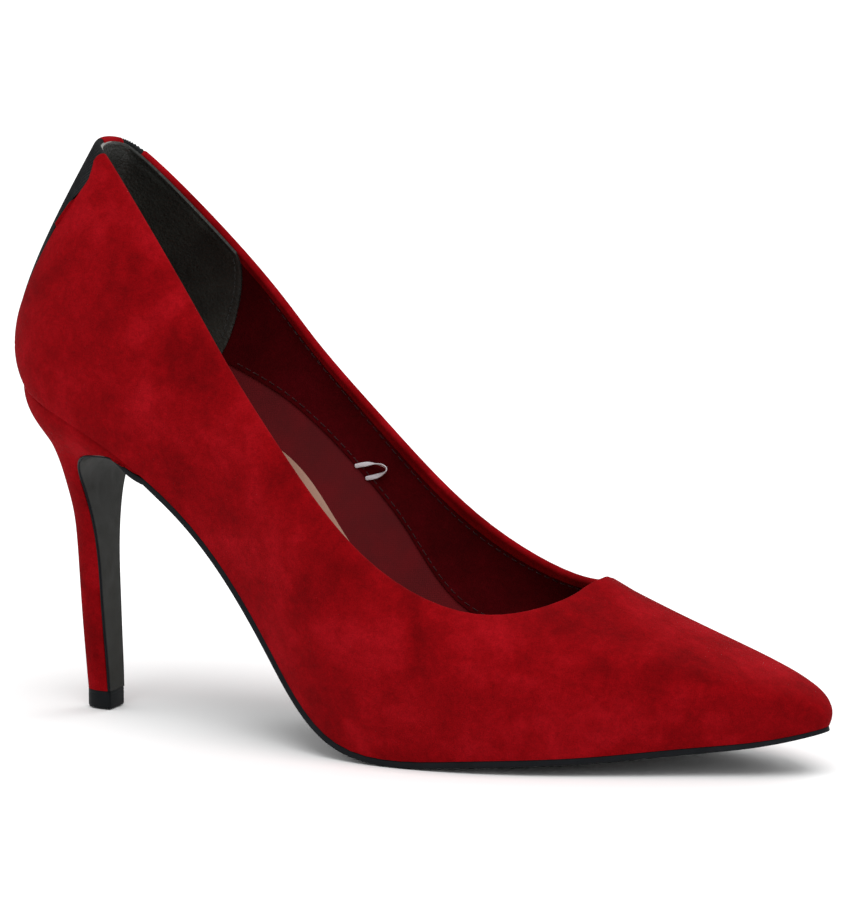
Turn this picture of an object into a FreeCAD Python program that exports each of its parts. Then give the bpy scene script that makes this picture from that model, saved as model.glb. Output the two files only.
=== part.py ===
import FreeCAD, Part
import math
import os
from FreeCAD import Placement, Rotation, Vector

# High heel pump, right foot, EU 38, in millimetres.
# While it is modelled, x runs from the back of the heel seat to the toe, y from the outer (lateral,
# -y) to the inner (medial, +y) side, and z up from the floor. Every sub-part is then placed so that
# the origin is the bottom centre of the whole shoe's box.

os.makedirs("parts", exist_ok=True)
doc = FreeCAD.newDocument("high_heel_pump")

# ---------------------------------------------------------------- driving dimensions
DIMENSIONS = {
    "suede_thickness": 1.0,
    "doubler_thickness": 0.6,
    "lining_thickness": 0.6,
    "grip_thickness": 1.0,
    "arch_pad_thickness": 1.6,
    "outsole_thickness": 1.82,
    "filler_thickness": 1.2,
    "insole_thickness": 2.0,
    "sock_thickness": 1.0,
    "heel_pad_thickness": 0.9,
    "heel_cover_thickness": 0.8,
    "breast_flap_thickness": 0.7,
    "top_piece_height": 5.0,
    "top_piece_fillet": 0.4,
    "top_piece_pin_diameter": 2.4,
    "top_piece_pin_length": 14.0,
    "heel_tube_outer_diameter": 4.0,
    "heel_tube_inner_diameter": 2.5,
    "heel_tube_length": 52.0,
    "shank_width": 11.0,
    "shank_back": 16.0,
    "shank_front": 118.0,
    "rivet_diameter": 3.0,
    "heel_screw_diameter": 3.5,
    "heel_screw_length": 24.0,
    "heel_screw_head_diameter": 7.5,
    "heel_nail_diameter": 1.6,
    "heel_nail_length": 14.0,
    "outsole_back": 44.0,
    "loop_tape_width": 2.4,
    "loop_tape_thickness": 0.5,
}

# The shoe's wall runs from the feather line, where it meets the sole, up to the topline. Each station
# gives a point of both lines (x, half-width on the outer side, half-width on the inner side, z; the
# topline's inner side has its own z) and how far the wall leaves each end outward and upward, as the
# control points of a cubic.
STATION_WORDS = ("feather_x", "feather_outer", "feather_inner", "feather_z",
                 "topline_x", "topline_outer", "topline_inner", "topline_z", "topline_inner_z",
                 "lower_outward", "lower_upward", "upper_outward", "upper_downward")
STATIONS = (
    (5.5, 0, 0, 92.0, 28.4, 0, 0, 155.7, 155.7, 7.5, 13.0, 12.5, 25.0),
    (9.0, 12.0, 12.5, 90.3, 29.9, 8.4, 8.0, 155.2, 154.3, 7.4, 14.0, 12.8, 23.5),
    (17.3, 21.5, 21.8, 87.0, 35.6, 13.4, 11.4, 151.9, 150.3, 6.8, 15.0, 12.5, 18.0),
    (36.2, 27.3, 24.8, 79.0, 56.7, 21.0, 18.8, 128.4, 127.9, 5.4, 15.3, 11.3, 13.0),
    (66.9, 27.2, 22.3, 57.0, 77.8, 26.8, 25.2, 101.2, 101.2, 4.6, 15.2, 9.6, 11.0),
    (91.7, 29.4, 22.5, 25.3, 98.5, 32.4, 30.6, 77.3, 77.3, 4.4, 15.2, 9.6, 9.0),
    (113.7, 36.5, 28.3, 4.6, 121.9, 36.5, 34.6, 54.8, 54.8, 4.2, 15.3, 9.7, 8.4),
    (148.9, 37.4, 34.3, 3.0, 151.4, 31.6, 31.8, 41.2, 41.2, 4.2, 15.8, 13.4, 9.0),
    (177.9, 29.1, 30.8, 4.9, 167.5, 17.4, 18.6, 43.0, 43.0, 4.0, 15.2, 22.2, 12.2),
    (206.6, 16.8, 21.0, 7.9, 171.3, 7.4, 8.0, 45.6, 45.6, 4.4, 14.4, 31.9, 16.6),
    (228.0, 7.3, 10.6, 10.8, 172.7, 2.5, 2.7, 46.8, 46.8, 5.1, 13.6, 37.3, 21.4),
    (236.0, 0, 0, 12.8, 173.0, 0, 0, 47.0, 47.0, 5.9, 12.7, 39.0, 22.9),
)

# The heel's horizontal sections: height, x of the rounded back, x of the round's centre, half-width
# there, x of the flat front and half-width there.
HEEL_WORDS = ("section_z", "section_back", "section_centre", "section_half",
              "section_front", "section_front_half")
HEEL_SECTIONS = (
    (5.0, 22.2, 28.6, 4.3, 30.2, 4.3),
    (29.0, 20.4, 27.3, 5.4, 29.0, 5.4),
    (45.6, 19.5, 26.8, 6.4, 28.4, 6.4),
    (54.0, 19.0, 26.4, 8.5, 28.8, 8.8),
    (62.0, 17.9, 26.4, 12.2, 33.0, 13.0),
    (70.2, 15.9, 27.0, 16.4, 44.0, 21.5),
    (78.3, 12.1, 26.5, 20.3, 51.0, 26.8),
    (86.5, 8.0, 25.5, 23.8, 54.0, 27.4),
    (94.0, 4.6, 24.5, 25.2, 56.0, 27.6),
)

# Side view of the heel's breast: up the front of the stem, forward round the throat of the arch and
# into the underside of the sole (x, z).
BREAST_LINE = (
    (29.9, 4.0), (29.8, 8.0), (28.6, 29.0), (27.8, 45.6), (27.3, 54.0), (26.9, 62.0),
    (27.4, 67.0), (29.8, 70.8), (33.6, 72.4), (38.5, 72.9), (44.0, 72.2),
)

sheet = doc.addObject("Spreadsheet::Sheet", "dimensions")


def write_cell(column, row, alias, value):
    """One cell of the sheet, with its alias."""
    cell = f"{column}{row}"
    sheet.set(cell, str(value))
    sheet.setAlias(cell, alias)


for row, (word, number) in enumerate(DIMENSIONS.items(), start=1):
    sheet.set(f"A{row}", word)
    write_cell("B", row, word, number)
COLUMNS = "DEFGHIJKLMNOPQR"
for row, station in enumerate(STATIONS, start=1):
    for column, word, number in zip(COLUMNS, STATION_WORDS, station):
        write_cell(column, row, f"{word}_{row}", number)
first_heel_row = len(STATIONS) + 3
for index, section in enumerate(HEEL_SECTIONS, start=1):
    for column, word, number in zip(COLUMNS, HEEL_WORDS, section):
        write_cell(column, first_heel_row + index, f"{word}_{index}", number)
doc.recompute()


def size(word):
    """A driving dimension, read from the sheet."""
    return float(sheet.get(word))


def station_values(word):
    return [size(f"{word}_{row}") for row in range(1, len(STATIONS) + 1)]


# ---------------------------------------------------------------- the wall's surface
def loop_curve(first, outer, inner, third, inner_third):
    """A closed smooth curve: back centre, outer side, toe, inner side and back again."""
    outward = [Vector(a, -b, c) for a, b, c in zip(first, outer, third)]
    homeward = [Vector(a, b, c) for a, b, c in zip(first, inner, inner_third)]
    points = outward + homeward[-2:0:-1]
    curve = Part.BSplineCurve()
    curve.interpolate(Points=points, PeriodicFlag=True, Parameters=LOOP_KNOTS)
    return curve


def half_knots():
    """Station parameters from 0 at the back to 1 at the toe, by distance along the feather line."""
    points = [Vector(x, -y, z) for x, y, z in zip(station_values("feather_x"),
                                                station_values("feather_outer"),
                                                station_values("feather_z"))]
    lengths = [(b - a).Length for a, b in zip(points, points[1:])]
    total = sum(lengths)
    return [sum(lengths[:i]) / total for i in range(len(points))]


HALF_KNOTS = half_knots()
LOOP_KNOTS = HALF_KNOTS + [2.0 - knot for knot in HALF_KNOTS[-2::-1]]
feather = loop_curve(station_values("feather_x"), station_values("feather_outer"),
                     station_values("feather_inner"), station_values("feather_z"),
                     station_values("feather_z"))
topline = loop_curve(station_values("topline_x"), station_values("topline_outer"),
                     station_values("topline_inner"), station_values("topline_z"),
                     station_values("topline_inner_z"))

# The bulges are kept as curves too: x is the reach outward and z the reach up or down. Their y only
# keeps neighbouring points apart.
SPREAD = [10.0 * knot for knot in HALF_KNOTS]
lower_bulge = loop_curve(station_values("lower_outward"), SPREAD, SPREAD,
                         station_values("lower_upward"), station_values("lower_upward"))
upper_bulge = loop_curve(station_values("upper_outward"), SPREAD, SPREAD,
                         station_values("upper_downward"), station_values("upper_downward"))


def outward_direction(place):
    """Level direction out of the shoe at a place on the feather line."""
    along = feather.tangent(place)[0]
    return Vector(along.y, -along.x, 0).normalize()


def outer_point(place, height):
    """Point of the outer face: place 0..2 round the loop, height 0 (feather) to 1 (topline)."""
    place = place % 2.0
    low = feather.value(place)
    high = topline.value(place)
    out = outward_direction(place)
    low_bulge = lower_bulge.value(place)
    high_bulge = upper_bulge.value(place)
    second = low + out * low_bulge.x + Vector(0, 0, low_bulge.z)
    third = high + out * high_bulge.x - Vector(0, 0, high_bulge.z)
    rest = 1.0 - height
    return (low * rest ** 3 + second * (3 * rest * rest * height)
            + third * (3 * rest * height * height) + high * height ** 3)


STEP_ALONG = 0.002
STEP_UP = 0.01


def wall_point(place, height, depth):
    """Point at a depth inward from the outer face, square to it."""
    point = outer_point(place, height)
    along = outer_point(place + STEP_ALONG, height) - outer_point(place - STEP_ALONG, height)
    up = (outer_point(place, min(1.0, height + STEP_UP))
          - outer_point(place, max(0.0, height - STEP_UP)))
    inward = up.cross(along).normalize()
    return point + inward * depth


def column_places(start, end):
    """Places between two ends of the loop: four to each gap between stations."""
    every = [knot + turn for turn in (-2.0, 0.0, 2.0) for knot in LOOP_KNOTS[:-1]]
    every.append(4.0)
    split = [a + (b - a) * part / 4.0 for a, b in zip(every, every[1:]) for part in range(4)]
    gap = 0.004
    return [start] + [place for place in split if start + gap < place < end - gap] + [end]


ROWS = 8


def wall_surface(start, end, bottom, top, depth):
    """Smooth surface over a part of the wall; bottom and top give heights for a place."""
    grid = []
    for place in column_places(start, end):
        low = bottom(place)
        step = (top(place) - low) / ROWS
        grid.append([wall_point(place, low + step * row, depth) for row in range(ROWS + 1)])
    surface = Part.BSplineSurface()
    surface.interpolate(grid)
    return surface


def wall_layer(start, end, bottom, top, outer_depth, inner_depth):
    """Closed solid of one layer of the wall."""
    outside = wall_surface(start, end, bottom, top, outer_depth)
    inside = wall_surface(start, end, bottom, top, inner_depth)
    first_u, last_u, first_v, last_v = outside.bounds()
    faces = [outside.toShape(), inside.toShape()]
    first_in, last_in, low_in, high_in = inside.bounds()
    borders = ((outside.uIso(first_u), inside.uIso(first_in)),
               (outside.uIso(last_u), inside.uIso(last_in)),
               (outside.vIso(first_v), inside.vIso(low_in)),
               (outside.vIso(last_v), inside.vIso(high_in)))
    for outer_edge, inner_edge in borders:
        faces.append(Part.makeRuledSurface(outer_edge.toShape(), inner_edge.toShape()))
    shell = Part.makeShell(faces)
    shell.sewShape()
    solid = Part.makeSolid(shell)
    if solid.Volume < 0:
        solid.reverse()
    return solid


def level(value):
    """The same height all along."""
    return lambda place: value


def along_stations(values):
    """Height that changes from station to station, the same on both sides of the shoe."""
    def height(place):
        place = place % 2.0
        half = place if place <= 1.0 else 2.0 - place
        for index in range(len(values) - 1):
            low, high = HALF_KNOTS[index], HALF_KNOTS[index + 1]
            if half <= high:
                ratio = (half - low) / (high - low)
                ease = ratio * ratio * (3 - 2 * ratio)
                return values[index] + (values[index + 1] - values[index]) * ease
        return values[-1]
    return height


# ---------------------------------------------------------------- the bottom's profile
def profile_points(lift, x_from, x_to):
    """Side-view points of the bottom, at a distance above the feather line and square to it."""
    samples = 48
    line = [feather.value(index / samples) for index in range(samples + 1)]
    flat = [Vector(point.x, 0, point.z) for point in line[1:-1]]
    back = flat[0] + Vector(-12, 0, 5)
    front = flat[-1] + Vector(14, 0, 2.4)
    curve = Part.BSplineCurve()
    curve.interpolate(Points=[back] + flat + [front])
    points = []
    count = 60
    for index in range(count + 1):
        parameter = curve.FirstParameter + (curve.LastParameter - curve.FirstParameter) * index / count
        point = curve.value(parameter)
        along = curve.tangent(parameter)[0]
        lifted = point + Vector(-along.z, 0, along.x) * lift
        if x_from - 6 < lifted.x < x_to + 6:
            points.append(lifted)
    return points


HALF_SPAN = 70.0
UNDER_FLOOR = -20.0
BLANK_HEIGHT = 150.0


def bottom_band(low, high, x_from, x_to):
    """Plate that follows the bottom's side view between two lifts, as wide as needed."""
    lower = Part.BSplineCurve()
    lower.interpolate(Points=profile_points(low, x_from, x_to))
    upper = Part.BSplineCurve()
    upper.interpolate(Points=profile_points(high, x_from, x_to))
    edges = [lower.toShape(), upper.toShape()]
    edges.append(Part.makeLine(lower.StartPoint, upper.StartPoint))
    edges.append(Part.makeLine(lower.EndPoint, upper.EndPoint))
    face = Part.Face(Part.Wire(Part.__sortEdges__(edges)))
    face.translate(Vector(0, -HALF_SPAN, 0))
    band = face.extrude(Vector(0, 2 * HALF_SPAN, 0))
    limit_corner = Vector(x_from, -HALF_SPAN, UNDER_FLOOR)
    limit = Part.makeBox(x_to - x_from, 2 * HALF_SPAN, BLANK_HEIGHT, limit_corner)
    return band.common(limit)


def outline_prism(inset):
    """Upright prism on the shoe's plan outline, drawn in from the feather line."""
    points = []
    for place in column_places(0.0, 2.0)[:-1]:
        point = feather.value(place) - outward_direction(place) * inset
        points.append(Vector(point.x, point.y, UNDER_FLOOR))
    curve = Part.BSplineCurve()
    curve.interpolate(Points=points, PeriodicFlag=True)
    face = Part.Face(Part.Wire(curve.toShape()))
    return face.extrude(Vector(0, 0, BLANK_HEIGHT))


def feature(name, shape):
    """A document object that holds a shape."""
    item = doc.addObject("Part::Feature", name)
    item.Label = name
    item.Shape = shape
    return item


def boolean(kind, name, base, tool):
    """A Part boolean of two document objects."""
    item = doc.addObject(f"Part::{kind}", name)
    item.Label = name
    item.Base = base
    item.Tool = tool
    doc.recompute()
    return item


nodes = []


def keep(item):
    """Counts an object as one of the shoe's sub-parts."""
    nodes.append(item)
    return item


# ---------------------------------------------------------------- wall depths, from the outside in
SUEDE = size("suede_thickness")
DOUBLER = SUEDE + size("doubler_thickness")
LINING = DOUBLER + size("lining_thickness")
GRIP = LINING + size("grip_thickness")
ARCH_PAD = LINING + size("arch_pad_thickness")
FULL_START = 0.0005
FULL_END = 2.0 - FULL_START


def polygon_prism(corners, sweep):
    """Prism on a closed polygon."""
    face = Part.Face(Part.makePolygon(corners + corners[:1]))
    return face.extrude(sweep)


# Back of the topline: a notch in the quarters holds two elastic gores, one each side of a suede strip.
# The notch is a side view (x, z) and the strip a front view (y, z).
NOTCH_HALF_SPAN = 30.0
NOTCH = ((-8, 170), (-8, 100), (4.0, 100), (7.2, 106), (10.5, 114.5), (14.2, 123.2), (21.9, 134.0),
         (30.0, 143.4), (32.9, 147.6), (33.3, 151.0), (32.8, 170))
STRIP = ((-1.8, 96), (-3.2, 118), (-4.8, 148), (-5.0, 170), (7.0, 170), (6.8, 148), (5.2, 118), (3.8, 96))
STRIP_BACK = -8.0
STRIP_FRONT = 44.0
BACK_REACH = 0.15
BACK_LOW = 0.1
GORE_SUNK = 0.2
GORE_SIDE = 20.0
GORE_FOOT = 95.0


def build_uppers():
    """The suede upper with its back notch, the strip and the two gores."""
    whole = feature("upper_blank", wall_layer(FULL_START, FULL_END, level(0.0), level(1.0), 0.0, SUEDE))
    notch_corners = [Vector(x, -NOTCH_HALF_SPAN, z) for x, z in NOTCH]
    notch = feature("back_notch", polygon_prism(notch_corners, Vector(0, 2 * NOTCH_HALF_SPAN, 0)))
    keep(boolean("Cut", "upper_suede", whole, notch))

    zone = feature("back_zone", wall_layer(-BACK_REACH, BACK_REACH, level(BACK_LOW), level(1.0),
                                           0.0, SUEDE))
    gore_zone = feature("gore_zone", wall_layer(-BACK_REACH, BACK_REACH, level(BACK_LOW), level(1.0),
                                                GORE_SUNK, SUEDE))
    in_notch = boolean("Common", "gore_blank", gore_zone, notch)
    strip_corners = [Vector(STRIP_BACK, y, z) for y, z in STRIP]
    strip_sweep = Vector(STRIP_FRONT - STRIP_BACK, 0, 0)
    strip_prism = feature("strip_prism", polygon_prism(strip_corners, strip_sweep))
    strip_blank = boolean("Common", "strip_blank", zone, strip_prism)
    keep(boolean("Common", "back_strip", strip_blank, notch))
    gores = boolean("Cut", "gore_pair", in_notch, strip_prism)
    for name, corner in (("elastic_gore_lateral", -GORE_SIDE), ("elastic_gore_medial", 0.0)):
        side_box = doc.addObject("Part::Box", f"{name}_side")
        side_box.Length = STRIP_FRONT - STRIP_BACK
        side_box.Width = GORE_SIDE
        side_box.Height = BLANK_HEIGHT
        side_box.Placement = Placement(Vector(STRIP_BACK, corner, GORE_FOOT), Rotation())
        keep(boolean("Common", name, gores, side_box))


# Heights on the wall, station by station from the back to the toe.
COUNTER_TOP = (0.62, 0.62, 0.60, 0.52, 0.36, 0.2, 0.2, 0.2, 0.2, 0.2, 0.2, 0.2)
FACING_EDGE = (0.34, 0.34, 0.34, 0.35, 0.49, 0.575, 0.43, 0.38, 0.36, 0.34, 0.34, 0.34)
COUNTER_REACH = 0.33
PUFF_REACH = 0.80
PUFF_TOP = 0.72
TAPE_START = 0.045
TAPE_LOW = 0.93
LAYERS_TOP = 0.985
GRIP_REACH = 0.18
GRIP_LOW = 0.37
GRIP_TOP = 0.975
ARCH_PAD_PLACES = (1.50, 1.74)
ARCH_PAD_HEIGHTS = (0.10, 0.30)


def build_wall_layers():
    """Everything between the suede and the foot; it all ends just below the topline."""
    keep(feature("heel_counter", wall_layer(-COUNTER_REACH, COUNTER_REACH, level(0.0),
                                            along_stations(COUNTER_TOP), SUEDE, DOUBLER)))
    keep(feature("toe_puff", wall_layer(PUFF_REACH, 2 - PUFF_REACH, level(0.0), level(PUFF_TOP),
                                        SUEDE, DOUBLER)))
    keep(feature("doubler_lateral", wall_layer(COUNTER_REACH, PUFF_REACH, level(0.0), level(TAPE_LOW),
                                               SUEDE, DOUBLER)))
    keep(feature("doubler_medial", wall_layer(2 - PUFF_REACH, 2 - COUNTER_REACH, level(0.0),
                                              level(TAPE_LOW), SUEDE, DOUBLER)))
    keep(feature("topline_tape", wall_layer(TAPE_START, 2 - TAPE_START, level(TAPE_LOW),
                                            level(LAYERS_TOP), SUEDE, DOUBLER)))
    facing_edge = along_stations(FACING_EDGE)
    keep(feature("quarter_lining", wall_layer(FULL_START, FULL_END, level(0.0), facing_edge,
                                              DOUBLER, LINING)))
    keep(feature("collar_facing", wall_layer(FULL_START, FULL_END, facing_edge, level(LAYERS_TOP),
                                             DOUBLER, LINING)))
    keep(feature("heel_grip", wall_layer(-GRIP_REACH, GRIP_REACH, level(GRIP_LOW), level(GRIP_TOP),
                                         LINING, GRIP)))
    keep(feature("arch_pad", wall_layer(*ARCH_PAD_PLACES, *(level(part) for part in ARCH_PAD_HEIGHTS),
                                        LINING, ARCH_PAD)))


# ---------------------------------------------------------------- bottom stack
FILLER_TOP = size("filler_thickness")
INSOLE_TOP = FILLER_TOP + size("insole_thickness")
SOCK_TOP = INSOLE_TOP + size("sock_thickness")
WALL_INSET = LINING + 0.2
BACK_END = 0.0
TOE_END = 240.0
HEEL_PAD_BACK = 14.0
HEEL_PAD_FRONT = 52.0
HEEL_PAD_INSET = 7.0
RIVET_PLACES = (0.12, 0.9)
RIVET_BLANK = 8.0
HEEL_SCREW_X = 24.0
SCREW_HOLE_FOOT = 70.0
NAIL_HOLE_FOOT = 60.0
HOLE_HEIGHT = 40.0
NAIL_PLACES = ((15.0, 0.0), (20.0, -12.0), (20.0, 12.0), (36.0, -13.0), (36.0, 13.0))


def build_bottom():
    """Filler, shank, insole board, heel pad and sock inside the wall."""
    inside = feature("inside_outline", outline_prism(WALL_INSET))
    filler_band = feature("filler_band", bottom_band(0.0, FILLER_TOP, BACK_END, TOE_END))
    filler_blank = boolean("Common", "filler_blank", filler_band, inside)

    shank_back = size("shank_back")
    shank_length = size("shank_front") - shank_back
    plan = doc.addObject("Part::Box", "shank_plan")
    plan.setExpression("Length", "dimensions.shank_front - dimensions.shank_back")
    plan.setExpression("Width", "dimensions.shank_width")
    plan.Height = BLANK_HEIGHT
    plan.Placement = Placement(Vector(shank_back, -size("shank_width") / 2, UNDER_FLOOR), Rotation())
    doc.recompute()
    shank_blank = boolean("Common", "shank_blank", filler_band, plan)
    keep(boolean("Cut", "bottom_filler", filler_blank, plan))

    insole_band = feature("insole_band", bottom_band(FILLER_TOP, INSOLE_TOP, BACK_END, TOE_END))
    insole_blank = boolean("Common", "insole_blank", insole_band, inside)
    pad_low = INSOLE_TOP - size("heel_pad_thickness")
    pad_band = feature("heel_pad_band", bottom_band(pad_low, INSOLE_TOP, HEEL_PAD_BACK, HEEL_PAD_FRONT))
    pad_outline = feature("heel_pad_outline", outline_prism(HEEL_PAD_INSET))
    pad = keep(boolean("Common", "heel_pad", pad_band, pad_outline))
    with_pocket = boolean("Cut", "insole_with_pocket", insole_blank, pad)

    rivets = []
    for index, along in enumerate(RIVET_PLACES, start=1):
        x = shank_back + shank_length * along
        rivets.append(rivet(index, x))
    pair = doc.addObject("Part::MultiFuse", "rivet_pair")
    pair.Shapes = rivets
    doc.recompute()
    rivet_band = feature("rivet_band", bottom_band(0.0, pad_low, BACK_END, TOE_END))
    keep(boolean("Common", "shank_rivets", pair, rivet_band))
    keep(boolean("Cut", "shank", shank_blank, pair))

    screw_hole = doc.addObject("Part::Cylinder", "screw_clearance")
    screw_hole.setExpression("Radius", "dimensions.heel_screw_head_diameter / 2 + 0.2")
    screw_hole.Height = HOLE_HEIGHT
    screw_hole.Placement = Placement(Vector(HEEL_SCREW_X, 0, SCREW_HOLE_FOOT), Rotation())
    holes = doc.addObject("Part::MultiFuse", "insole_holes")
    holes.Shapes = [pair, screw_hole] + nail_shapes("insole_nail", NAIL_HOLE_FOOT, HOLE_HEIGHT, 0.1)
    doc.recompute()
    keep(boolean("Cut", "insole_board", with_pocket, holes))

    sock_band = feature("sock_band", bottom_band(INSOLE_TOP, SOCK_TOP, BACK_END, TOE_END))
    keep(boolean("Common", "sock_lining", sock_band, inside))


def profile_height(x):
    """Height of the feather line at the middle of the shoe."""
    points = profile_points(0.0, -20, 260)
    for a, b in zip(points, points[1:]):
        if a.x <= x <= b.x:
            return a.z + (b.z - a.z) * (x - a.x) / (b.x - a.x)
    return 0.0


def profile_tilt(x):
    """Slope angle of the bottom at x, in degrees below level."""
    reach = 2.0
    return math.degrees(math.atan2(profile_height(x - reach) - profile_height(x + reach), 2 * reach))


def rivet(index, x):
    """One shank rivet, square to the bottom."""
    pin = doc.addObject("Part::Cylinder", f"rivet_{index}")
    pin.setExpression("Radius", "dimensions.rivet_diameter / 2")
    pin.Height = RIVET_BLANK
    lean = Rotation(Vector(0, 1, 0), profile_tilt(x))
    middle = Vector(x, 0, profile_height(x))
    pin.Placement = Placement(middle - lean.multVec(Vector(0, 0, RIVET_BLANK / 2)), lean)
    return pin


def nail_shapes(name, z_from, height, clearance):
    """Upright pins at the heel nails' places."""
    pins = []
    for index, (x, y) in enumerate(NAIL_PLACES, start=1):
        pin = doc.addObject("Part::Cylinder", f"{name}_{index}")
        pin.setExpression("Radius", f"dimensions.heel_nail_diameter / 2 + {clearance}")
        pin.Height = height
        pin.Placement = Placement(Vector(x, y, z_from), Rotation())
        pins.append(pin)
    return pins


# ---------------------------------------------------------------- heel
def origin_plane(body, role):
    return next(item for item in body.Origin.OriginFeatures if item.Role == role)


def level_sketch(body, name, height_expression):
    """Sketch in a level plane at a height."""
    sketch = body.newObject("Sketcher::SketchObject", name)
    sketch.AttachmentSupport = (origin_plane(body, "XY_Plane"), [""])
    sketch.MapMode = "FlatFace"
    sketch.setExpression("AttachmentOffset.Base.z", height_expression)
    return sketch


ROUND_POINTS = 8


def draw_heel_section(sketch, index, inset):
    """D-shaped outline: a half-round back, two sides and a flat front."""
    back = size(f"section_back_{index}") + inset
    centre = size(f"section_centre_{index}")
    half = size(f"section_half_{index}") - inset
    front = size(f"section_front_{index}")
    front_half = size(f"section_front_half_{index}") - inset
    points = []
    for step in range(ROUND_POINTS + 1):
        angle = math.pi * (step / ROUND_POINTS - 0.5)
        points.append(Vector(centre - (centre - back) * math.cos(angle), half * math.sin(angle), 0))
    curve = Part.BSplineCurve()
    curve.interpolate(Points=points)
    corner_a = Vector(front, front_half, 0)
    corner_b = Vector(front, -front_half, 0)
    sketch.addGeometry(curve, False)
    sketch.addGeometry(Part.LineSegment(points[-1], corner_a), False)
    sketch.addGeometry(Part.LineSegment(corner_a, corner_b), False)
    sketch.addGeometry(Part.LineSegment(corner_b, points[0]), False)


def heel_loft(body, kind, name, inset):
    """Loft through all the heel's sections."""
    sections = []
    for index in range(1, len(HEEL_SECTIONS) + 1):
        sketch = level_sketch(body, f"{name}_section_{index}", f"dimensions.section_z_{index}")
        draw_heel_section(sketch, index, inset)
        sections.append(sketch)
    doc.recompute()
    loft = body.newObject(f"PartDesign::{kind}", name)
    loft.Profile = sections[0]
    loft.Sections = sections[1:]
    loft.Ruled = False
    doc.recompute()
    return loft


def breast_curve(shift):
    """Side view of the breast, moved forward by a distance square to itself."""
    flat = [Vector(x, 0, z) for x, z in BREAST_LINE]
    curve = Part.BSplineCurve()
    curve.interpolate(Points=flat)
    if shift == 0:
        return curve
    moved = []
    count = 40
    for index in range(count + 1):
        parameter = curve.FirstParameter + (curve.LastParameter - curve.FirstParameter) * index / count
        along = curve.tangent(parameter)[0]
        moved.append(curve.value(parameter) + Vector(along.z, 0, -along.x) * shift)
    offset = Part.BSplineCurve()
    offset.interpolate(Points=moved)
    return offset


SEAT_BLANK_BACK = -5.0
SEAT_BLANK_FRONT = 70.0
SEAT_BLANK_HEIGHT = 40.0
ARCH_BLANK_FOOT = 40.0
ARCH_BLANK_LENGTH = 40.0
ARCH_BLANK_HEIGHT = 60.0


def heel_trimmers():
    """The spaces in front of the breast, above the seat and under the arch."""
    curve = breast_curve(0.0)
    low = curve.StartPoint
    high = curve.EndPoint
    ahead = 90.0
    underfoot = -10.0
    slope_drop = 20.0
    corners = [high, Vector(ahead, 0, high.z - slope_drop), Vector(ahead, 0, underfoot),
               Vector(low.x, 0, underfoot), low]
    edges = [curve.toShape()] + [Part.makeLine(a, b) for a, b in zip(corners, corners[1:])]
    face = Part.Face(Part.Wire(Part.__sortEdges__(edges)))
    face.translate(Vector(0, -HALF_SPAN, 0))
    front = face.extrude(Vector(0, 2 * HALF_SPAN, 0))
    above = bottom_band(0.0, SEAT_BLANK_HEIGHT, SEAT_BLANK_BACK, SEAT_BLANK_FRONT)
    arch_corner = Vector(size("outsole_back"), -HALF_SPAN, ARCH_BLANK_FOOT)
    end_box = Part.makeBox(ARCH_BLANK_LENGTH, 2 * HALF_SPAN, ARCH_BLANK_HEIGHT, arch_corner)
    return front, above, end_box


def build_heel():
    """Moulded core, suede cover, steel tube, top piece and its pin."""
    front, above, end_box = heel_trimmers()
    front_tool = feature("breast_space", front)
    seat_tool = feature("seat_space", above)
    end_tool = feature("arch_space", end_box)

    outer = doc.addObject("PartDesign::Body", "heel_outer_body")
    heel_loft(outer, "AdditiveLoft", "heel_outer_loft", 0.0)
    inner = doc.addObject("PartDesign::Body", "heel_inner_body")
    heel_loft(inner, "AdditiveLoft", "heel_inner_loft", size("heel_cover_thickness"))

    trimmed = {}
    for name, body in (("outer", outer), ("inner", inner)):
        step = boolean("Cut", f"heel_{name}_no_front", body, front_tool)
        step = boolean("Cut", f"heel_{name}_no_seat", step, seat_tool)
        trimmed[name] = boolean("Cut", f"heel_{name}_trimmed", step, end_tool)
    keep(boolean("Cut", "heel_cover", trimmed["outer"], inner))

    bores = doc.addObject("Part::MultiFuse", "heel_bores")
    core_nails = nail_shapes("core_nail", NAIL_BOTTOM, HOLE_HEIGHT, 0.0)
    bores.Shapes = [heel_tube_space(), screw_space()] + core_nails
    doc.recompute()
    keep(boolean("Cut", "heel_core", trimmed["inner"], bores))


TUBE_BOTTOM_X = 26.0
TUBE_LEAN = -2.2
NAIL_BOTTOM = 76.0
SCREW_HEAD_HEIGHT = 1.6
SCREW_HEAD_RISE = 0.6
PIN_DEPTH = 3.0


def tube_place():
    """The tube leans with the heel's stem, and starts on the top piece."""
    foot = Vector(TUBE_BOTTOM_X, 0, size("top_piece_height"))
    return Placement(foot, Rotation(Vector(0, 1, 0), TUBE_LEAN))


def heel_tube_space():
    space = doc.addObject("Part::Cylinder", "heel_tube_space")
    space.setExpression("Radius", "dimensions.heel_tube_outer_diameter / 2")
    space.setExpression("Height", "dimensions.heel_tube_length")
    space.Placement = tube_place()
    return space


def screw_place():
    return Placement(Vector(HEEL_SCREW_X, 0, screw_top() - size("heel_screw_length")), Rotation())


def screw_space():
    space = doc.addObject("Part::Cylinder", "heel_screw_space")
    space.setExpression("Radius", "dimensions.heel_screw_diameter / 2")
    space.Height = HOLE_HEIGHT
    space.Placement = screw_place()
    return space


def screw_top():
    """Top of the screw's head, flush in the insole board under the heel pad."""
    return profile_height(HEEL_SCREW_X) + FILLER_TOP + SCREW_HEAD_RISE


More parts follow.
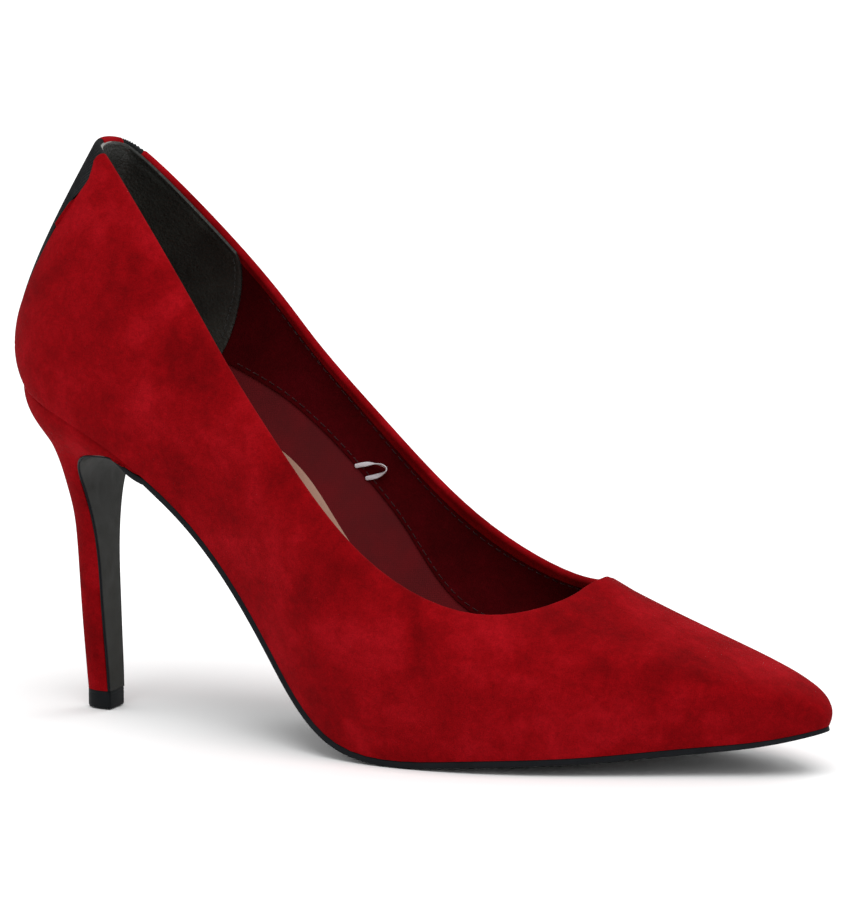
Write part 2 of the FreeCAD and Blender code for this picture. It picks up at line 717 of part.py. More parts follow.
def build_heel_hardware():
    """Steel tube, screw, nails, top piece and pin."""
    tube = doc.addObject("PartDesign::Body", "heel_tube")
    ring = level_sketch(tube, "heel_tube_ring", "0")
    for diameter in ("heel_tube_outer_diameter", "heel_tube_inner_diameter"):
        ring.addGeometry(Part.Circle(Vector(0, 0, 0), Vector(0, 0, 1), size(diameter) / 2), False)
    wall = tube.newObject("PartDesign::Pad", "heel_tube_wall")
    wall.Profile = ring
    wall.setExpression("Length", "dimensions.heel_tube_length")
    doc.recompute()
    tube.Placement = tube_place()
    keep(tube)

    stem = doc.addObject("Part::Cylinder", "screw_stem")
    stem.setExpression("Radius", "dimensions.heel_screw_diameter / 2")
    stem.setExpression("Height", "dimensions.heel_screw_length")
    stem.Placement = screw_place()
    head = doc.addObject("Part::Cone", "screw_head")
    head.setExpression("Radius1", "dimensions.heel_screw_diameter / 2")
    head.setExpression("Radius2", "dimensions.heel_screw_head_diameter / 2")
    head.Height = SCREW_HEAD_HEIGHT
    head.Placement = Placement(Vector(HEEL_SCREW_X, 0, screw_top() - SCREW_HEAD_HEIGHT), Rotation())
    keep(boolean("Fuse", "heel_screw", stem, head))

    nails = doc.addObject("Part::MultiFuse", "nail_group")
    nails.Shapes = nail_shapes("nail", NAIL_BOTTOM, HOLE_HEIGHT, 0.0)
    doc.recompute()
    nail_top = INSOLE_TOP - size("heel_pad_thickness")
    nail_reach = -30.0
    nail_band = feature("nail_band", bottom_band(nail_reach, nail_top, SEAT_BLANK_BACK, SEAT_BLANK_FRONT))
    keep(boolean("Common", "heel_nails", nails, nail_band))

    lift = doc.addObject("PartDesign::Body", "top_piece")
    sketch = level_sketch(lift, "top_piece_outline", "0")
    draw_heel_section(sketch, 1, 0.0)
    pad = lift.newObject("PartDesign::Pad", "top_piece_pad")
    pad.Profile = sketch
    pad.setExpression("Length", "dimensions.top_piece_height")
    doc.recompute()
    edge_names = [f"Edge{index}" for index, edge in enumerate(pad.Shape.Edges, start=1)
                  if edge.BoundBox.ZMax < 0.01]
    fillet = lift.newObject("PartDesign::Fillet", "top_piece_round")
    fillet.Base = (pad, edge_names)
    fillet.setExpression("Radius", "dimensions.top_piece_fillet")
    doc.recompute()
    pin_space = doc.addObject("Part::Cylinder", "top_piece_pin_space")
    pin_space.setExpression("Radius", "dimensions.top_piece_pin_diameter / 2")
    pin_space.setExpression("Height", "dimensions.top_piece_pin_length")
    lean = Rotation(Vector(0, 1, 0), TUBE_LEAN)
    pin_foot = Vector(TUBE_BOTTOM_X, 0, size("top_piece_height")) - lean.multVec(Vector(0, 0, PIN_DEPTH))
    pin_space.Placement = Placement(pin_foot, lean)
    lift.Label = "top_piece_body"
    keep(boolean("Cut", "top_piece_lift", lift, pin_space)).Label = "top_piece"
    pin = doc.addObject("Part::Cylinder", "top_piece_pin")
    pin.Label = "top_piece_pin"
    pin.setExpression("Radius", "dimensions.top_piece_pin_diameter / 2")
    pin.setExpression("Height", "dimensions.top_piece_pin_length")
    pin.Placement = Placement(pin_foot, lean)
    keep(pin)


# Front view of the flap of the outsole that covers the breast: half-width and height.
FLAP_SIDE = (
    (4.3, 5.0), (5.5, 29.0), (6.5, 45.6), (8.4, 54.0), (12.0, 62.0), (15.5, 67.0), (19.5, 70.6),
    (23.5, 73.2), (25.5, 76.0),
)
FLAP_BLANK_BACK = -5.0


def build_outsole():
    """Leather sole that turns down over the heel's breast."""
    outline = feature("outsole_outline", outline_prism(0.1))
    start = size("outsole_back")
    plate = feature("outsole_plate", bottom_band(-size("outsole_thickness"), 0.0, start, TOE_END))
    forepart = boolean("Common", "outsole_forepart", plate, outline)

    thickness = size("breast_flap_thickness")
    near = breast_curve(0.0)
    far = breast_curve(thickness)
    edges = [near.toShape(), far.toShape(), Part.makeLine(near.StartPoint, far.StartPoint),
             Part.makeLine(near.EndPoint, far.EndPoint)]
    face = Part.Face(Part.Wire(Part.__sortEdges__(edges)))
    face.translate(Vector(0, -HALF_SPAN, 0))
    sweep = face.extrude(Vector(0, 2 * HALF_SPAN, 0))
    side = [Vector(FLAP_BLANK_BACK, -y, z) for y, z in FLAP_SIDE]
    left = Part.BSplineCurve()
    left.interpolate(Points=side)
    mirrored = Part.BSplineCurve()
    mirrored.interpolate(Points=[Vector(FLAP_BLANK_BACK, y, z) for y, z in FLAP_SIDE])
    closing = [Part.makeLine(side[0], mirrored.StartPoint), Part.makeLine(side[-1], mirrored.EndPoint)]
    front = Part.Face(Part.Wire(Part.__sortEdges__([left.toShape(), mirrored.toShape()] + closing)))
    cutter = front.extrude(Vector(start - FLAP_BLANK_BACK, 0, 0))
    flap_sweep = feature("flap_sweep", sweep)
    flap_cutter = feature("flap_cutter", cutter)
    keep(boolean("Common", "breast_flap", flap_sweep, flap_cutter))
    forepart.Label = "outsole"
    keep(forepart)


LOOP_LEG = 4.2
LOOP_HALF_GAP = 2.3
LOOP_PLACE = 1.599
LOOP_HEIGHT = 0.56
LOOP_DEPTH = LINING + 1.6
LOOP_TILT = -20.0


def build_tag_loop():
    """Loop of narrow woven tape, sewn by both ends into the lining's seam on the inner side."""
    body = doc.addObject("PartDesign::Body", "tag_loop")
    path = body.newObject("Sketcher::SketchObject", "loop_path")
    path.AttachmentSupport = (origin_plane(body, "XZ_Plane"), [""])
    path.MapMode = "FlatFace"
    start = Vector(0, LOOP_HALF_GAP, 0)
    turn = Vector(LOOP_LEG, LOOP_HALF_GAP, 0)
    back = Vector(LOOP_LEG, -LOOP_HALF_GAP, 0)
    end = Vector(0, -LOOP_HALF_GAP, 0)
    bend = Part.Circle(Vector(LOOP_LEG, 0, 0), Vector(0, 0, 1), LOOP_HALF_GAP)
    path.addGeometry(Part.LineSegment(start, turn), False)
    path.addGeometry(Part.ArcOfCircle(bend, -math.pi / 2, math.pi / 2), False)
    path.addGeometry(Part.LineSegment(back, end), False)
    section = body.newObject("Sketcher::SketchObject", "loop_section")
    section.AttachmentSupport = (origin_plane(body, "YZ_Plane"), [""])
    section.MapMode = "FlatFace"
    half_width = size("loop_tape_width") / 2
    half_thick = size("loop_tape_thickness") / 2
    low = LOOP_HALF_GAP - half_thick
    high = LOOP_HALF_GAP + half_thick
    corners = [Vector(-half_width, low, 0), Vector(half_width, low, 0),
               Vector(half_width, high, 0), Vector(-half_width, high, 0)]
    for a, b in zip(corners, corners[1:] + corners[:1]):
        section.addGeometry(Part.LineSegment(a, b), False)
    doc.recompute()
    pipe = body.newObject("PartDesign::AdditivePipe", "loop_pipe")
    pipe.Profile = section
    pipe.Spine = (path, ["Edge1", "Edge2", "Edge3"])
    doc.recompute()
    root = wall_point(LOOP_PLACE, LOOP_HEIGHT, LOOP_DEPTH)
    body.Placement = Placement(root, Rotation(Vector(0, 1, 0), LOOP_TILT))
    keep(body)


build_uppers()
build_wall_layers()
build_outsole()
build_bottom()
build_heel()
build_heel_hardware()
build_tag_loop()
doc.recompute()


# ---------------------------------------------------------------- origin and checks
def box_of(items):
    """Box round the items' faces, measured on fine triangles."""
    deflection = 0.05
    points = [point for item in items for point in item.Shape.tessellate(deflection)[0]]
    xs = [point.x for point in points]
    ys = [point.y for point in points]
    zs = [point.z for point in points]
    return min(xs), max(xs), min(ys), max(ys), min(zs), max(zs)


x_low, x_high, y_low, y_high, z_low, z_high = box_of(nodes)
shift = Vector(-(x_low + x_high) / 2, -(y_low + y_high) / 2, -z_low)
print("box", [round(value, 2) for value in (x_low, x_high, y_low, y_high, z_low, z_high)])
for node in nodes:
    node.Placement = Placement(shift, Rotation()).multiply(node.Placement)
doc.recompute()

for item in doc.Objects:
    if "Invalid" in item.State or "Error" in item.State:
        raise RuntimeError(f"{item.Label} did not compute: {item.State}")
for node in nodes:
    if node.Shape.isNull() or not node.Shape.isValid() or not node.Shape.Solids:
        raise RuntimeError(f"{node.Label} has no valid solid")
    print(node.Label, len(node.Shape.Solids), round(node.Shape.Volume, 1))
for node in nodes:
    node.Shape.exportStep(f"parts/{node.Label}.step")
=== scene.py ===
import math

import bmesh
import bpy
import numpy as np
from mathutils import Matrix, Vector


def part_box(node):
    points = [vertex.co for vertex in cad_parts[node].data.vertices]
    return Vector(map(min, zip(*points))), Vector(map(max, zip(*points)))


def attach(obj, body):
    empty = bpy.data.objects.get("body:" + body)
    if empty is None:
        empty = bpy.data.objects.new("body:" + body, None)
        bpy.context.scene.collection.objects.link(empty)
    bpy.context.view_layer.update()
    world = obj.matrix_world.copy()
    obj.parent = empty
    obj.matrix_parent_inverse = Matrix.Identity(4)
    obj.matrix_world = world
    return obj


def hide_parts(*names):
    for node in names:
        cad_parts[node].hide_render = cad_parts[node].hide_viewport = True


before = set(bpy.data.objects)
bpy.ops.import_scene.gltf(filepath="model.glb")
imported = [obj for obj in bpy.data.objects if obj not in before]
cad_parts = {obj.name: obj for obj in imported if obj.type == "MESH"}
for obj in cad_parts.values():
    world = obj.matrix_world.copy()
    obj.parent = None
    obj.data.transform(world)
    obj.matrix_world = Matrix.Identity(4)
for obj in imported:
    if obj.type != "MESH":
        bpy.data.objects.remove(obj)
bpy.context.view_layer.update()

# ---------------------------------------------------------------- units and place
# Shapes are worked out in millimetres in the shoe's own layout (x from the back of the heel seat to
# the toe, y from the outer to the inner side, z up) and put into the shared frame at the end.
MM = 0.001
SHANK_BACK = 16.0
shank_low, shank_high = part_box("shank")
tip_low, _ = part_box("top_piece")
shank_middle = (shank_low[1] + shank_high[1]) / 2
SHIFT = np.array([shank_low[0] / MM - SHANK_BACK, shank_middle / MM, tip_low[2] / MM])

# ---------------------------------------------------------------- the wall's surface
# Each row is one station of the wall: feather line x, outer half-width, inner half-width, z, then the
# same for the topline with the inner side's own z, then the cubic's lower reach outward and up and its
# upper reach outward and down.
STATIONS = np.array((
    (5.5, 0, 0, 92.0, 28.4, 0, 0, 155.7, 155.7, 7.5, 13.0, 12.5, 25.0),
    (9.0, 12.0, 12.5, 90.3, 29.9, 8.4, 8.0, 155.2, 154.3, 7.4, 14.0, 12.8, 23.5),
    (17.3, 21.5, 21.8, 87.0, 35.6, 13.4, 11.4, 151.9, 150.3, 6.8, 15.0, 12.5, 18.0),
    (36.2, 27.3, 24.8, 79.0, 56.7, 21.0, 18.8, 128.4, 127.9, 5.4, 15.3, 11.3, 13.0),
    (66.9, 27.2, 22.3, 57.0, 77.8, 26.8, 25.2, 101.2, 101.2, 4.6, 15.2, 9.6, 11.0),
    (91.7, 29.4, 22.5, 25.3, 98.5, 32.4, 30.6, 77.3, 77.3, 4.4, 15.2, 9.6, 9.0),
    (113.7, 36.5, 28.3, 4.6, 121.9, 36.5, 34.6, 54.8, 54.8, 4.2, 15.3, 9.7, 8.4),
    (148.9, 37.4, 34.3, 3.0, 151.4, 31.6, 31.8, 41.2, 41.2, 4.2, 15.8, 13.4, 9.0),
    (177.9, 29.1, 30.8, 4.9, 167.5, 17.4, 18.6, 43.0, 43.0, 4.0, 15.2, 22.2, 12.2),
    (206.6, 16.8, 21.0, 7.9, 171.3, 7.4, 8.0, 45.6, 45.6, 4.4, 14.4, 31.9, 16.6),
    (228.0, 7.3, 10.6, 10.8, 172.7, 2.5, 2.7, 46.8, 46.8, 5.1, 13.6, 37.3, 21.4),
    (236.0, 0, 0, 12.8, 173.0, 0, 0, 47.0, 47.0, 5.9, 12.7, 39.0, 22.9),
), float)


def half_knots():
    """Station parameters from 0 at the back to 1 at the toe."""
    points = STATIONS[:, [0, 1, 3]]
    lengths = np.linalg.norm(points[1:] - points[:-1], axis=1)
    return np.concatenate([[0.0], np.cumsum(lengths)]) / lengths.sum()


HALF_KNOTS = half_knots()
LOOP_KNOTS = np.concatenate([HALF_KNOTS, 2.0 - HALF_KNOTS[-2::-1]])


class Spline:
    """Cubic spline through values at rising knots: natural at its ends, or closed into a loop."""

    def __init__(self, knots, values, loop=False):
        self.knots, self.values = np.asarray(knots, float), np.asarray(values, float)
        self.loop = loop
        gaps = self.gaps = np.diff(self.knots)
        rises = np.diff(self.values) / gaps
        count = len(gaps)
        matrix, right = np.eye(count + 1), np.zeros(count + 1)
        for i in range(0 if loop else 1, count):
            before, after = gaps[i - 1], gaps[i]
            matrix[i, [i - 1 if i else count - 1, i, i + 1]] = before, 2 * (before + after), after
            right[i] = 6 * (rises[i] - rises[i - 1])
        if loop:
            matrix[count, 0] = -1.0
        self.bends = np.linalg.solve(matrix, right)

    def __call__(self, place, slope=False):
        first, last = self.knots[0], self.knots[-1]
        place = np.mod(place, last) if self.loop else np.clip(place, first, last)
        index = np.clip(np.searchsorted(self.knots, place, side="right") - 1, 0, len(self.gaps) - 1)
        gap = self.gaps[index]
        a = (self.knots[index + 1] - place) / gap
        b = 1.0 - a
        low, high = self.values[index], self.values[index + 1]
        bend_low, bend_high = self.bends[index], self.bends[index + 1]
        if slope:
            return ((high - low) / gap - (3 * a * a - 1) * gap * bend_low / 6
                    + (3 * b * b - 1) * gap * bend_high / 6)
        return a * low + b * high + ((a ** 3 - a) * bend_low + (b ** 3 - b) * bend_high) * gap * gap / 6


def station_spline(outer_column, inner_column=None, sign=1.0):
    """Spline round the loop, through one column on the outer side and one on the inner side."""
    outer = sign * STATIONS[:, outer_column]
    inner = STATIONS[:, outer_column if inner_column is None else inner_column]
    return Spline(LOOP_KNOTS, np.concatenate([outer, inner[-2::-1]]), loop=True)


FEATHER_X, FEATHER_Y, FEATHER_Z = station_spline(0), station_spline(1, 2, -1.0), station_spline(3)
TOP_X, TOP_Y, TOP_Z = station_spline(4), station_spline(5, 6, -1.0), station_spline(7, 8)
LOW_OUT, LOW_UP, HIGH_OUT, HIGH_DOWN = (station_spline(column) for column in (9, 10, 11, 12))


def feather(place):
    return np.stack([FEATHER_X(place), FEATHER_Y(place), FEATHER_Z(place)], -1)


def outward(place):
    """Level direction out of the shoe at a place on the feather line."""
    x, y = FEATHER_X(place, True), FEATHER_Y(place, True)
    length = np.hypot(x, y)
    return np.stack([y / length, -x / length, np.zeros_like(length)], -1)


def outer_point(place, height):
    """Points of the outer face: place round the loop, height 0 (feather) to 1 (topline)."""
    place, height = np.broadcast_arrays(np.asarray(place, float), np.asarray(height, float))
    low = feather(place)
    high = np.stack([TOP_X(place), TOP_Y(place), TOP_Z(place)], -1)
    out = outward(place)
    up = np.array([0, 0, 1.0])
    second = low + out * LOW_OUT(place)[..., None] + up * LOW_UP(place)[..., None]
    third = high + out * HIGH_OUT(place)[..., None] - up * HIGH_DOWN(place)[..., None]
    t = height[..., None]
    r = 1.0 - t
    return low * r ** 3 + second * (3 * r * r * t) + third * (3 * r * t * t) + high * t ** 3


def unit(vectors):
    return vectors / np.linalg.norm(vectors, axis=-1, keepdims=True)


def wall_directions(place, height):
    """Unit directions inward and up the wall, and millimetres of wall to one unit of height."""
    step_place, step_height = 0.001, 0.005
    along = outer_point(place + step_place, height) - outer_point(place - step_place, height)
    rise = outer_point(place, height + step_height) - outer_point(place, height - step_height)
    length = np.linalg.norm(rise, axis=-1)
    return unit(np.cross(rise, along)), rise / length[..., None], length / (2 * step_height)


def wall_point(place, height, depth):
    """Points a depth in millimetres inside the outer face."""
    inward, _, _ = wall_directions(place, height)
    return outer_point(place, height) + inward * np.asarray(depth, float)[..., None]


def smooth(low, high, value):
    """Rises from 0 to 1 between two values, level at both."""
    t = np.clip((value - low) / (high - low), 0, 1)
    return t * t * (3 - 2 * t)


# ---------------------------------------------------------------- mesh helpers
def to_frame(points):
    return (np.asarray(points, float) + SHIFT) * MM


def link_object(name, data):
    item = bpy.data.objects.new(name, data)
    bpy.context.scene.collection.objects.link(item)
    return item


def make_object(name, points, faces, material):
    """Mesh object from millimetre points, riding on the shoe's one body."""
    mesh = bpy.data.meshes.new(name)
    mesh.from_pydata([tuple(point) for point in to_frame(points)], [], faces)
    mesh.validate()
    mesh.update()
    piece = link_object(name, mesh)
    for polygon in mesh.polygons:
        polygon.use_smooth = True
    mesh.materials.append(material)
    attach(piece, "root")
    return piece


def grid_faces(rows, columns, closed=False):
    """Quads of a grid whose points go row by row."""
    faces = []
    for i in range(rows - 1):
        for j in range(columns if closed else columns - 1):
            a, b = i * columns + j, i * columns + (j + 1) % columns
            faces.append((a, b, b + columns, a + columns))
    return faces


def capped_faces(rings, count):
    """Quads round a tube of rings, then a cap at its start and one at its end."""
    last = (rings - 1) * count
    return grid_faces(rings, count, closed=True) + [tuple(range(count)), tuple(range(last, last + count))]


def weld(piece, distance_mm=0.02):
    """Joins points that lie together, and makes the faces point the same way."""
    mesh = bmesh.new()
    mesh.from_mesh(piece.data)
    bmesh.ops.remove_doubles(mesh, verts=mesh.verts, dist=distance_mm * MM)
    bmesh.ops.recalc_face_normals(mesh, faces=mesh.faces)
    mesh.to_mesh(piece.data)
    mesh.free()


def capped_tube(name, rings, material, weld_mm=0.02):
    """Closed piece from an array of rings (rings, points, 3)."""
    piece = make_object(name, rings.reshape(-1, 3), capped_faces(*rings.shape[:2]), material)
    weld(piece, weld_mm)
    return piece


def thick_sheet(name, outside, inside, material, edge_round=0.3):
    """Closed sheet between two grids of points (rows, columns, 3), with softened edges."""
    rows, columns = outside.shape[:2]
    count = rows * columns
    points = np.concatenate([outside.reshape(-1, 3), inside.reshape(-1, 3)])
    faces = grid_faces(rows, columns)
    faces += [tuple(reversed([index + count for index in face])) for face in grid_faces(rows, columns)]
    rim = ([(0, j) for j in range(columns - 1)] + [(i, columns - 1) for i in range(rows - 1)]
           + [(rows - 1, j) for j in range(columns - 1, 0, -1)] + [(i, 0) for i in range(rows - 1, 0, -1)])
    numbers = [i * columns + j for i, j in rim]
    for a, b in zip(numbers, numbers[1:] + numbers[:1]):
        faces.append((b, a, a + count, b + count))
    piece = make_object(name, points, faces, material)
    weld(piece)
    if edge_round:
        add_bevel(piece, edge_round)
    return piece


def add_bevel(piece, width_mm, segments=3, angle=50):
    bevel = piece.modifiers.new("soft_edges", "BEVEL")
    bevel.width = width_mm * MM
    bevel.segments = segments
    bevel.limit_method = "ANGLE"
    bevel.angle_limit = math.radians(angle)
    bevel.harden_normals = False


def column_places(start, end, density=5):
    """Places between two ends of the loop, closer together where the stations are."""
    knots = np.concatenate([LOOP_KNOTS[:-1] - 2.0, LOOP_KNOTS[:-1], LOOP_KNOTS[:-1] + 2.0])
    split = np.concatenate([np.linspace(a, b, density, endpoint=False) for a, b in zip(knots, knots[1:])])
    gap = 0.002
    return np.concatenate([[start], split[(split > start + gap) & (split < end - gap)], [end]])


def stitch_tube(path, radius, normals, sides=6):
    """Ring points and faces of a round thread along a path, with its ends capped."""
    tangents = unit(np.gradient(path, axis=0))
    side = unit(np.cross(tangents, normals))
    other = np.cross(side, tangents)
    angles = np.linspace(0, 2 * math.pi, sides, endpoint=False)[None, :, None]
    rings = (path[:, None] + side[:, None] * (np.cos(angles) * radius)
             + other[:, None] * (np.sin(angles) * radius))
    faces = capped_faces(len(path), sides)
    faces[-2] = faces[-2][::-1]
    return rings.reshape(-1, 3), faces


def stitch_row(name, points, lift, material, length, gap, radius):
    """Row of separate thread stitches along a line of points, standing off by a direction."""
    rings_to_stitch = 6
    lengths = np.concatenate([[0], np.cumsum(np.linalg.norm(points[1:] - points[:-1], axis=1))])
    arch = np.sin(np.linspace(0, math.pi, rings_to_stitch))[:, None]
    all_points, all_faces = [], []
    total = 0
    for index in range(int(lengths[-1] // (length + gap))):
        start = index * (length + gap) + gap / 2
        along = np.linspace(start, start + length, rings_to_stitch)
        middle, raise_by = (np.stack([np.interp(along, lengths, rows[:, axis]) for axis in range(3)], -1)
                            for rows in (points, lift))
        path = middle + raise_by * (arch * radius * 1.4 - radius * 0.35)
        ring, faces = stitch_tube(path, radius, raise_by + 1e-6)
        all_points.append(ring)
        all_faces += [tuple(number + total for number in face) for face in faces]
        total += len(ring)
    return make_object(name, np.concatenate(all_points), all_faces, material)


# ---------------------------------------------------------------- materials
def new_material(name):
    material = bpy.data.materials.new(name)
    material.use_nodes = True
    tree = material.node_tree
    shader = next(node for node in tree.nodes if node.type == "BSDF_PRINCIPLED")
    return material, tree, shader


def set_inputs(node, values):
    for name, value in values.items():
        node.inputs[name].default_value = value


def noise(tree, scale, detail=3.0, roughness=0.55, distortion=0.0, vector=None):
    node = tree.nodes.new("ShaderNodeTexNoise")
    set_inputs(node, {"Scale": scale, "Detail": detail, "Roughness": roughness, "Distortion": distortion})
    tree.links.new(vector or object_coordinates(tree), node.inputs["Vector"])
    return node.outputs["Fac"]


def object_coordinates(tree):
    for node in tree.nodes:
        if node.type == "TEX_COORD":
            return node.outputs["Object"]
    return tree.nodes.new("ShaderNodeTexCoord").outputs["Object"]


def stretched(tree, scale_xyz):
    node = tree.nodes.new("ShaderNodeMapping")
    set_inputs(node, {"Scale": scale_xyz})
    tree.links.new(object_coordinates(tree), node.inputs["Vector"])
    return node.outputs["Vector"]


def ramp(tree, value, stops):
    node = tree.nodes.new("ShaderNodeValToRGB")
    elements = node.color_ramp.elements
    while len(elements) < len(stops):
        elements.new(0.5)
    for element, (position, colour) in zip(elements, stops):
        element.position = position
        element.color = (*colour, 1.0)
    tree.links.new(value, node.inputs["Fac"])
    return node.outputs["Color"]


def grey_ramp(tree, value, stops):
    return ramp(tree, value, [(position, (level,) * 3) for position, level in stops])


def blend_colours(tree, factor, first, second, kind="MIX"):
    node = tree.nodes.new("ShaderNodeMix")
    node.data_type = "RGBA"
    node.blend_type = kind
    for socket, value in ((node.inputs[0], factor), (node.inputs[6], first), (node.inputs[7], second)):
        if isinstance(value, bpy.types.NodeSocket):
            tree.links.new(value, socket)
        elif socket.type == "RGBA":
            socket.default_value = (*value, 1.0)
        else:
            socket.default_value = value
    return node.outputs[2]


def maths(tree, operation, first, second=0.0):
    node = tree.nodes.new("ShaderNodeMath")
    node.operation = operation
    for socket, value in zip(node.inputs, (first, second)):
        if isinstance(value, bpy.types.NodeSocket):
            tree.links.new(value, socket)
        else:
            socket.default_value = value
    return node.outputs[0]


def bump(tree, shader, height, strength, distance_mm, below=None):
    node = tree.nodes.new("ShaderNodeBump")
    set_inputs(node, {"Strength": strength, "Distance": distance_mm * MM})
    tree.links.new(height, node.inputs["Height"])
    if below is not None:
        tree.links.new(below, node.inputs["Normal"])
    tree.links.new(node.outputs["Normal"], shader.inputs["Normal"])
    return node.outputs["Normal"]


def weighted(tree, first, second, share):
    """The first value times its share, plus the second times the rest."""
    first, second = maths(tree, "MULTIPLY", first, share), maths(tree, "MULTIPLY", second, 1.0 - share)
    return maths(tree, "ADD", first, second)


def surface(tree, shader, colour, value, roughness, levels):
    """Links a colour and a roughness that follows a value, and sets the shader's other inputs."""
    tree.links.new(colour, shader.inputs["Base Color"])
    rough = grey_ramp(tree, value, [(0.3, roughness[0]), (0.7, roughness[1])])
    tree.links.new(rough, shader.inputs["Roughness"])
    set_inputs(shader, levels)


def suede(name, dark, middle, bright, sheen=0.10):
    """Brushed suede: soft patches where the nap lies differently, and a fine fibre."""
    material, tree, shader = new_material(name)
    patches = noise(tree, 46.0, 3.0, 0.55, 0.4)
    marks = noise(tree, 170.0, 4.0, 0.6, 0.5)
    fibre = noise(tree, 3000.0, 2.0, 0.6)
    tufts = noise(tree, 750.0, 3.0, 0.65)
    mixed = weighted(tree, patches, marks, 0.66)
    colour = ramp(tree, mixed, [(0.34, dark), (0.50, middle), (0.66, bright)])
    fibre_tone = grey_ramp(tree, weighted(tree, fibre, tufts, 0.5), [(0.3, 0.45), (0.7, 1.0)])
    colour = blend_colours(tree, 0.75, colour, fibre_tone, "MULTIPLY")
    surface(tree, shader, colour, marks, (0.9, 1.0),
            {"Specular IOR Level": 0.03, "Sheen Weight": sheen, "Sheen Roughness": 0.6,
             "Sheen Tint": (0.75, 0.03, 0.05, 1.0)})
    coarse = bump(tree, shader, tufts, 0.3, 0.3)
    bump(tree, shader, fibre, 0.5, 0.14, coarse)
    return material


def leather(name, dark, bright, roughness=(0.42, 0.6), grain=1500.0, depth=0.08, specular=0.4):
    """Grained leather: small rounded cells with a slight change of tone."""
    material, tree, shader = new_material(name)
    cells = tree.nodes.new("ShaderNodeTexVoronoi")
    set_inputs(cells, {"Scale": grain})
    tree.links.new(object_coordinates(tree), cells.inputs["Vector"])
    tone = noise(tree, 60.0, 3.0)
    creases = noise(tree, 400.0, 4.0, 0.6)
    colour = ramp(tree, tone, [(0.35, dark), (0.65, bright)])
    surface(tree, shader, colour, creases, roughness, {"Specular IOR Level": specular})
    first = bump(tree, shader, cells.outputs["Distance"], 0.55, depth)
    bump(tree, shader, creases, 0.3, depth * 2, first)
    return material


def cloth(name, dark, bright, thread_mm=0.45, roughness=0.9, sheen=0.15, depth=0.1):
    """Plain woven cloth from two crossed sets of threads."""
    material, tree, shader = new_material(name)
    waves = []
    scale = 0.32 / (thread_mm * MM)
    for direction in ("X", "Z"):
        wave = tree.nodes.new("ShaderNodeTexWave")
        wave.bands_direction = direction
        set_inputs(wave, {"Scale": scale, "Distortion": 1.5, "Detail": 1.0})
        tree.links.new(object_coordinates(tree), wave.inputs["Vector"])
        waves.append(wave.outputs["Fac"])
    weave = maths(tree, "MAXIMUM", waves[0], waves[1])
    tone = noise(tree, 90.0, 3.0)
    colour = ramp(tree, tone, [(0.35, dark), (0.65, bright)])
    colour = blend_colours(tree, 0.5, colour, grey_ramp(tree, weave, [(0.2, 0.55), (0.8, 1.0)]), "MULTIPLY")
    surface(tree, shader, colour, tone, (roughness - 0.06, min(1.0, roughness + 0.06)),
            {"Specular IOR Level": 0.25, "Sheen Weight": sheen, "Sheen Roughness": 0.5})
    bump(tree, shader, weave, 0.5, depth)
    return material


def satin(name, dark, bright, roughness=(0.38, 0.5), specular=0.5, streaks=(1, 1, 1), depth=0.03):
    """Smooth painted or moulded surface with faint streaks and a little wear."""
    material, tree, shader = new_material(name)
    tone = noise(tree, 220.0, 4.0, 0.6, 0.0, stretched(tree, streaks))
    specks = noise(tree, 1800.0, 2.0)
    colour = ramp(tree, tone, [(0.3, dark), (0.7, bright)])
    surface(tree, shader, colour, tone, roughness, {"Specular IOR Level": specular})
    bump(tree, shader, specks, 0.4, depth)
    return material


def metal(name, colour, roughness=0.32):
    """Bare metal with a faint brushing."""
    material, tree, shader = new_material(name)
    brushed = noise(tree, 900.0, 3.0, 0.6, 0.0, stretched(tree, (0.08, 1, 1)))
    darker = tuple(part * 0.8 for part in colour)
    surface(tree, shader, ramp(tree, brushed, [(0.3, darker), (0.7, colour)]), brushed,
            (roughness - 0.06, roughness + 0.1), {"Metallic": 1.0})
    bump(tree, shader, brushed, 0.15, 0.03)
    return material


RED_DARK, RED_MIDDLE, RED_BRIGHT = (0.150, 0.0009, 0.002), (0.235, 0.0016, 0.0035), (0.330, 0.004, 0.008)
RED_SUEDE = suede("red_suede", RED_DARK, RED_MIDDLE, RED_BRIGHT)
FACING_SUEDE = suede("burgundy_facing", (0.046, 0.0009, 0.002), (0.064, 0.0012, 0.0025),
                     (0.084, 0.0016, 0.004), 0.03)
LINING_CLOTH = cloth("burgundy_lining", (0.090, 0.0018, 0.004), (0.125, 0.003, 0.006),
                     0.5, 0.95, 0.02, 0.06)
GRIP_LEATHER = leather("black_grip_leather", (0.013, 0.014, 0.0125), (0.028, 0.030, 0.026),
                       (0.42, 0.58), 1150, 0.28, 0.35)
SOCK_LEATHER = leather("beige_sock_leather", (0.30, 0.165, 0.120), (0.37, 0.215, 0.160),
                       (0.6, 0.75), 1500, 0.05, 0.2)
SOLE_LEATHER = satin("black_sole_leather", (0.010, 0.011, 0.012), (0.018, 0.019, 0.020), (0.45, 0.6), 0.25)
SOLE_EDGE = satin("black_sole_edge", (0.004, 0.005, 0.006), (0.008, 0.009, 0.011), (0.45, 0.6), 0.08)
BREAST_SATIN = satin("grey_breast_satin", (0.011, 0.011, 0.0085), (0.016, 0.016, 0.012), (0.42, 0.55), 0.1)
TIP_RUBBER = satin("black_tip_rubber", (0.004, 0.005, 0.006), (0.008, 0.009, 0.010), (0.5, 0.65), 0.08)
BURGUNDY_THREAD = cloth("burgundy_thread", (0.022, 0.001, 0.002), (0.035, 0.002, 0.003), 0.25)
# Light grey of the grip's cut edge, also standing in for a painted highlight: it is put only on the rim on
# the camera's side.
RAW_EDGE_AND_HIGHLIGHT = satin("raw_grip_edge_and_painted_highlight", (0.16, 0.16, 0.15), (0.24, 0.24, 0.225), (0.7, 0.85), 0.2)
